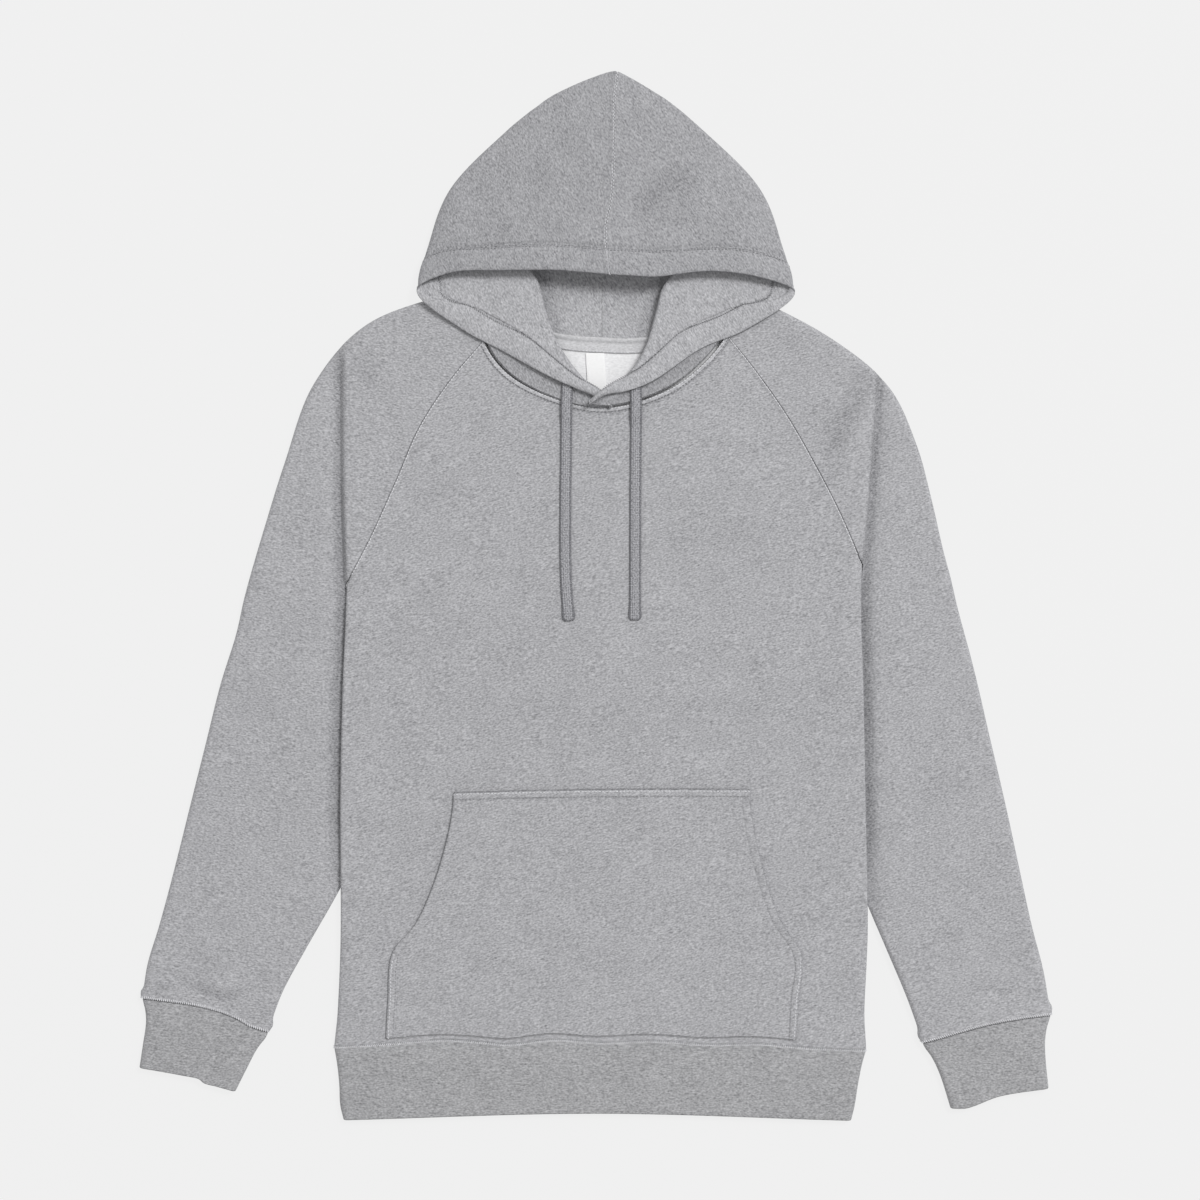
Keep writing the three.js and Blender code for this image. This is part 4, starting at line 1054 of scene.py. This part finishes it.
# Soft creases of the top of the hood: troughs and ridges that fan out from its tip and its middle
HOOD_CREASES = [
    ([(0, 488), (-14, 460), (-28, 428)], 2.2, 9),
    ([(36, 462), (39, 444), (39, 430)], 1.3, 6),
    ([(84, 408), (60, 382), (36, 358)], 2.2, 10),
    ([(-60, 440), (-50, 400), (-44, 360)], 0.8, 12),
    ([(100, 420), (84, 390), (78, 350)], 0.8, 12),
    ([(-110, 380), (-90, 350), (-84, 325)], 0.7, 12),
    ([(140, 370), (120, 345), (108, 325)], 0.7, 12),
]
# Painted shadow on the inside of the back, beside the rolls and below the top: lines, depth and width as
# for the creases, which here give only the shade and no shape
BACK_PAINTED_SHADOWS = [
    ([(-52, 318), (-47.6, 305), (-42.8, 274), (-34.2, 250), (-29, 236)], 2.6, 6.5),
    ([(64, 302), (58.9, 289.5), (49.6, 266), (40.9, 242.4), (36, 230)], 2.4, 4),
    ([(-90, 300), (-54, 301), (-22.8, 298), (8.7, 296.5), (32.3, 293.5), (60.6, 295), (95, 300)], 3.2, 9),
]
# A sharp crease across the inside of the left half, from its hem to the roll
INNER_CREASES = [([(-77, 257), (-62.7, 256.5), (-50.4, 254.6), (-41.8, 250.8), (-33.3, 241.3)], 1.2, 2.2)]


def hood_half(side):
    """The middle surface of one half of the hood, from the centre seam to the edge of the opening: four
    layers, straight in plan between the folds, with the neckline's bow at the neck and the seam's own
    curve at the top, their heights rounded over where they meet."""
    out = OUTWARDS[side]
    v = np.linspace(0, 1, 121)
    on_seam = smooth(v, *TOP_FADE)
    on_neck = np.maximum(1 - v / NECK_FADE, 0) ** 2
    corners = [along(SEAM_BACK, v)]
    for k, name in enumerate(("turn", "roll", "side", "edge")):
        x, y = np.array(HOOD_FOLDS[side][name]).T
        fold = np.stack([HOOD_AXIS + out * read(HOOD_AT, x, v), read(HOOD_AT, y, v)], -1)
        corner = mix(fold, along(SEAM_TOP, np.full(v.shape, SEAM_AT[k + 1])), on_seam[:, None])
        if name == "side":
            corner[:, 1] += TIP_SWELL[side] * np.sqrt(4 * on_seam * (1 - on_seam)) * smooth(on_seam, 0, 0.3)
        corners.append(corner)
    levels = [tuple(read(HEIGHTS_AT, end, v) for end in ends) for ends in HOOD_HEIGHTS.values()]
    shoulder = 0 if side == "left" else 1
    lap_end = 0.5 + (HOOD_AXIS + out * HOOD_FOLDS[side]["roll"][0][0] - NECK_MIDDLE) / NECK_SPAN
    necks = [(BACK_NECK, 0.5, shoulder), (FRONT_NECK, shoulder, lap_end)]
    layers = []
    for k, count in enumerate(LAYER_COUNTS):
        start, end = corners[k], corners[k + 1]
        low, high = levels[k]
        width = np.linalg.norm(end - start, axis=1)[:, None]
        rounding = np.clip(FOLD_REACH / np.maximum(width[:, 0], 1), 0, 0.25)
        unit = np.array([bend(radius, count) for radius in rounding])
        d = unit * width
        plan = mix(start[:, None], end[:, None], unit[..., None])
        ends = along(SEAM_TOP, np.array(SEAM_AT[k : k + 2]))
        seam = along(SEAM_TOP, mix(SEAM_AT[k], SEAM_AT[k + 1], unit))
        plan = plan + (seam - mix(ends[0], ends[1], unit[..., None])) * on_seam[:, None, None]
        if k < 2:
            neck, a, b = necks[k]
            ends = along(neck, np.array([a, b]))
            bow = along(neck, mix(a, b, unit)) - mix(ends[0], ends[1], unit[..., None])
            plan = plan + bow * on_neck[:, None, None]
        share = smooth(unit, 0.6, 0.85) if k == 1 else unit
        z = mix(low[:, None], high[:, None], share)
        before = ((levels[k - 1][1] - low) / 2 if k > 0 else 0 * low)[:, None]
        after = ((levels[k + 1][0] - high) / 2 if k < 3 else 0 * low)[:, None]
        z = z + before * (1 - rounded(d, np.abs(before))) * (k > 0)
        z = z + after * (1 - rounded(width - d, np.abs(after))) * (k < 3)
        if side == "right" and k > 0:
            lap_end = mix(*LAP_ENDS, smooth(v, 0, 0.05))[:, None]
            lapped = 1 - smooth(plan[..., 0] - HOOD_AXIS, LAP_EDGE, lap_end)
            sewn_down = mix(LAP_AT_NECK, 1, smooth(v, 0, 0.03)) * (1 - smooth(v, *LAP_FADE))
            z = z + LAP_LIFT * lapped * sewn_down[:, None]
        if k == 3:
            z = z + TOP_CROWN * 4 * unit * (1 - unit) * smooth(v, *CROWN_FADE)[:, None]
            x, y = plan[..., 0], plan[..., 1]
            lie = creases(x, y, HOOD_CREASES) + 0.5 * waves(x, y, 60, 31)
            z = z + lie * smooth(v, *LIE_FADE)[:, None]
        if k == 2 and side == "left":
            z = z + creases(plan[..., 0], plan[..., 1], INNER_CREASES)
        layer = np.dstack([plan, z])
        layers.append(layer if k == 0 else layer[:, 1:])
    return np.concatenate(layers, axis=1)


TWIN_ROWS = 1.2  # half the distance between the hem's two rows
HOOD_SEAM_ROW = 1.6
# The hem of the face opening, from its edge: a thick soft fold, then two rows of stitches
HOOD_HEM = [(0, 1.5, 0.4), (2.5, 1.7, 0.9), (6, 1.8, 1.3), (13, 1.8, 1.5), (19, 1.7, 1.2)]
HOOD_HEM += [(HEM_DEPTH - 3, 1.2, 0.6), (HEM_DEPTH - TWIN_ROWS, 1, -1.3), (HEM_DEPTH, 1, 0)]
HOOD_HEM += [(HEM_DEPTH + TWIN_ROWS, 1, -1.3), (HEM_DEPTH + 2.8, 1, 0.1), (HEM_DEPTH + 5, 1, 0)]
HOOD_TURN = {"left": -66, "right": -58}
for side, out in OUTWARDS.items():
    grid = hood_half(side)
    table = with_thickness(grid if side == "left" else grid[:, ::-1], CLOTH)
    seam_end, edge_end = (0, 1) if side == "left" else (1, 0)
    table = shape_near_edge(table, 1, edge_end, HOOD_HEM)
    table = finish_edge(table, 1, edge_end, FOLDED_EDGE)
    table = finish_edge(table, 1, seam_end, CLOSED_EDGE)
    table = finish_edge(table, 0, 0, CUT_EDGE)
    table = finish_edge(table, 0, 1, SEAM_EDGE)
    outer, inner = (
        marl_cloth(f"grey marl {side} hood {face}", HOOD_TURN[side], tone)
        for face, tone in (("outside", MARL - 12), ("inside", MARL + 5))
    )
    x, y, z = table[..., 0], table[..., 1], table[..., 2]
    # Painted shade in the creases of the top, and painted shadow on the inside of the back
    shade = crease_shadow(x, y, HOOD_CREASES) * smooth(z, 12, 18)
    shade += crease_shadow(x, y, BACK_PAINTED_SHADOWS) * (1 - smooth(z, 4, 8))
    half = wall(f"hood_half_{side}", table, [outer, inner], shade=shade)
    put(half, f"hood_{side}")
    rows = [stitch_line(table, 1, edge_end, HEM_DEPTH + step) for step in (-TWIN_ROWS, TWIN_ROWS)]
    hem_stitches = stitches(f"hood_hem_stitches_{side}", rows, groove_shaded_thread, radius=0.3)
    rows = [stitch_line(table, 1, edge_end, HEM_DEPTH, face=-1)]
    name = f"hood_hem_loops_{side}"
    loops = stitches(
        name, rows, groove_shaded_thread, pitch=2.1, length=3.4, radius=0.34, slant=0.9, lift=0.15
    )
    seam_rows = [stitch_line(table, 0, 1, HOOD_SEAM_ROW)]
    name = f"hood_seam_stitches_{side}"
    seam_stitches = stitches(name, seam_rows, pale_highlight_thread, length=2.4, radius=0.45)

# Neck tape and label
# A strip of the marl cloth covers the back neck seam inside, and a blank white woven label is sewn into
# the seam below it.
TAPE_WIDTH = 11.0
TAPE_THICKNESS = 0.9
TAPE_INSET = 1.6  # the label's seam lies this far below the back neck seam, and the tape's width
TAPE_RISE = 2.0  # the tape runs this far past that seam, and climbs on to the hood's cloth
BACK_NECK_LOW = 244.3  # y of the lowest point of the back neck
LABEL_WIDTH = 18.0
LABEL_LENGTH = 42.0
LABEL_THICKNESS = 0.7
LABEL_LEFT = -9  # x of its left edge at the top
LABEL_SLANT = 2.5  # how far it has gone to the right at its bottom
tape_material = cloth_material("marl tape", (176, 2), (230, 2), 0)
label_material = cloth_material("white woven label", (248, 0), (254, 0), 0)


def inside_strip(upper, lower, rows, thickness, climb=0.0):
    """A strip on the inside of the back between two lines in plan, just above the cloth, and climbing on
    to the seam at its upper edge."""
    up = np.linspace(0, 1, rows)[:, None]
    height = LOW + CLOTH / 2 + GAP + thickness / 2 + climb * smooth(up, 0.6, 0.85)
    plan = mix(lower[None], upper[None], up[..., None])
    table = with_thickness(np.dstack([plan, np.broadcast_to(height, plan.shape[:2])]), thickness)
    for axis, end in ((0, 0), (0, 1), (1, 0), (1, 1)):
        table = finish_edge(table, axis, end, CUT_EDGE)
    return table


s = np.linspace(0, 1, 60)
upper = along(BACK_NECK, mix(0.27, 0.73, s)) + (0, TAPE_RISE)
lower = along(BACK_NECK, mix(0.28, 0.72, s)) - (0, TAPE_INSET + TAPE_WIDTH)
table = inside_strip(upper, lower, 16, TAPE_THICKNESS, climb=TAPE_RISE)
tape = wall("tape", table, [tape_material])
put(tape, "neck_tape")
tape_stitches = stitches("tape_stitches", [stitch_line(table, 0, 0, 1.0)], pale_highlight_thread, radius=0.3)

s = np.linspace(0, 1, 14)[:, None]
label_top = BACK_NECK_LOW - TAPE_INSET - TAPE_WIDTH - GAP
upper = mix(np.array([[LABEL_LEFT, label_top]]), np.array([[LABEL_LEFT + LABEL_WIDTH, label_top]]), s)
lower = upper + (LABEL_SLANT, -LABEL_LENGTH)
label = wall("label", inside_strip(upper, lower, 30, LABEL_THICKNESS), [label_material])
put(label, "neck_label")

# Surface and light
# A plain pale surface, a large soft lamp above the upper right, and even light from all round.
FLOOR = 234  # grey level of the surface
FLOOR_SIZE = 6
FLOOR_DROP = 0.0006  # it is this far below the cloth, so that the two never share a face
bpy.ops.mesh.primitive_plane_add(size=FLOOR_SIZE, location=(0, 0, -FLOOR_DROP))
floor = bpy.context.object
floor.name = "pale_surface"
floor_material = bpy.data.materials.new("pale surface")
floor_material.use_nodes = True
shader = floor_material.node_tree.nodes["Principled BSDF"]
shader.inputs["Base Color"].default_value = (0.05, 0.05, 0.05, 1)
shader.inputs["Roughness"].default_value = 1
shader.inputs["Specular IOR Level"].default_value = 0
shader.inputs["Emission Color"].default_value = grey(FLOOR)
shader.inputs["Emission Strength"].default_value = 1.0
floor.data.materials.append(floor_material)

LAMP_PLACE = (3.4, 3.4, 7.0)
LAMP_SIZE = 2.6
LAMP_POWER = 400
AMBIENT = 0.54
lamp_data = bpy.data.lights.new("soft lamp", "AREA")
lamp_data.shape = "DISK"
lamp_data.size = LAMP_SIZE
lamp_data.energy = LAMP_POWER
lamp = bpy.data.objects.new("soft lamp", lamp_data)
lamp.location = LAMP_PLACE
lamp.rotation_euler = (-Vector(LAMP_PLACE)).to_track_quat("-Z", "Y").to_euler()
bpy.context.scene.collection.objects.link(lamp)

world = bpy.data.worlds.new("studio")
world.use_nodes = True
world.node_tree.nodes["Background"].inputs["Color"].default_value = (1, 1, 1, 1)
world.node_tree.nodes["Background"].inputs["Strength"].default_value = AMBIENT
bpy.context.scene.world = world
bpy.context.scene.view_settings.view_transform = "Standard"
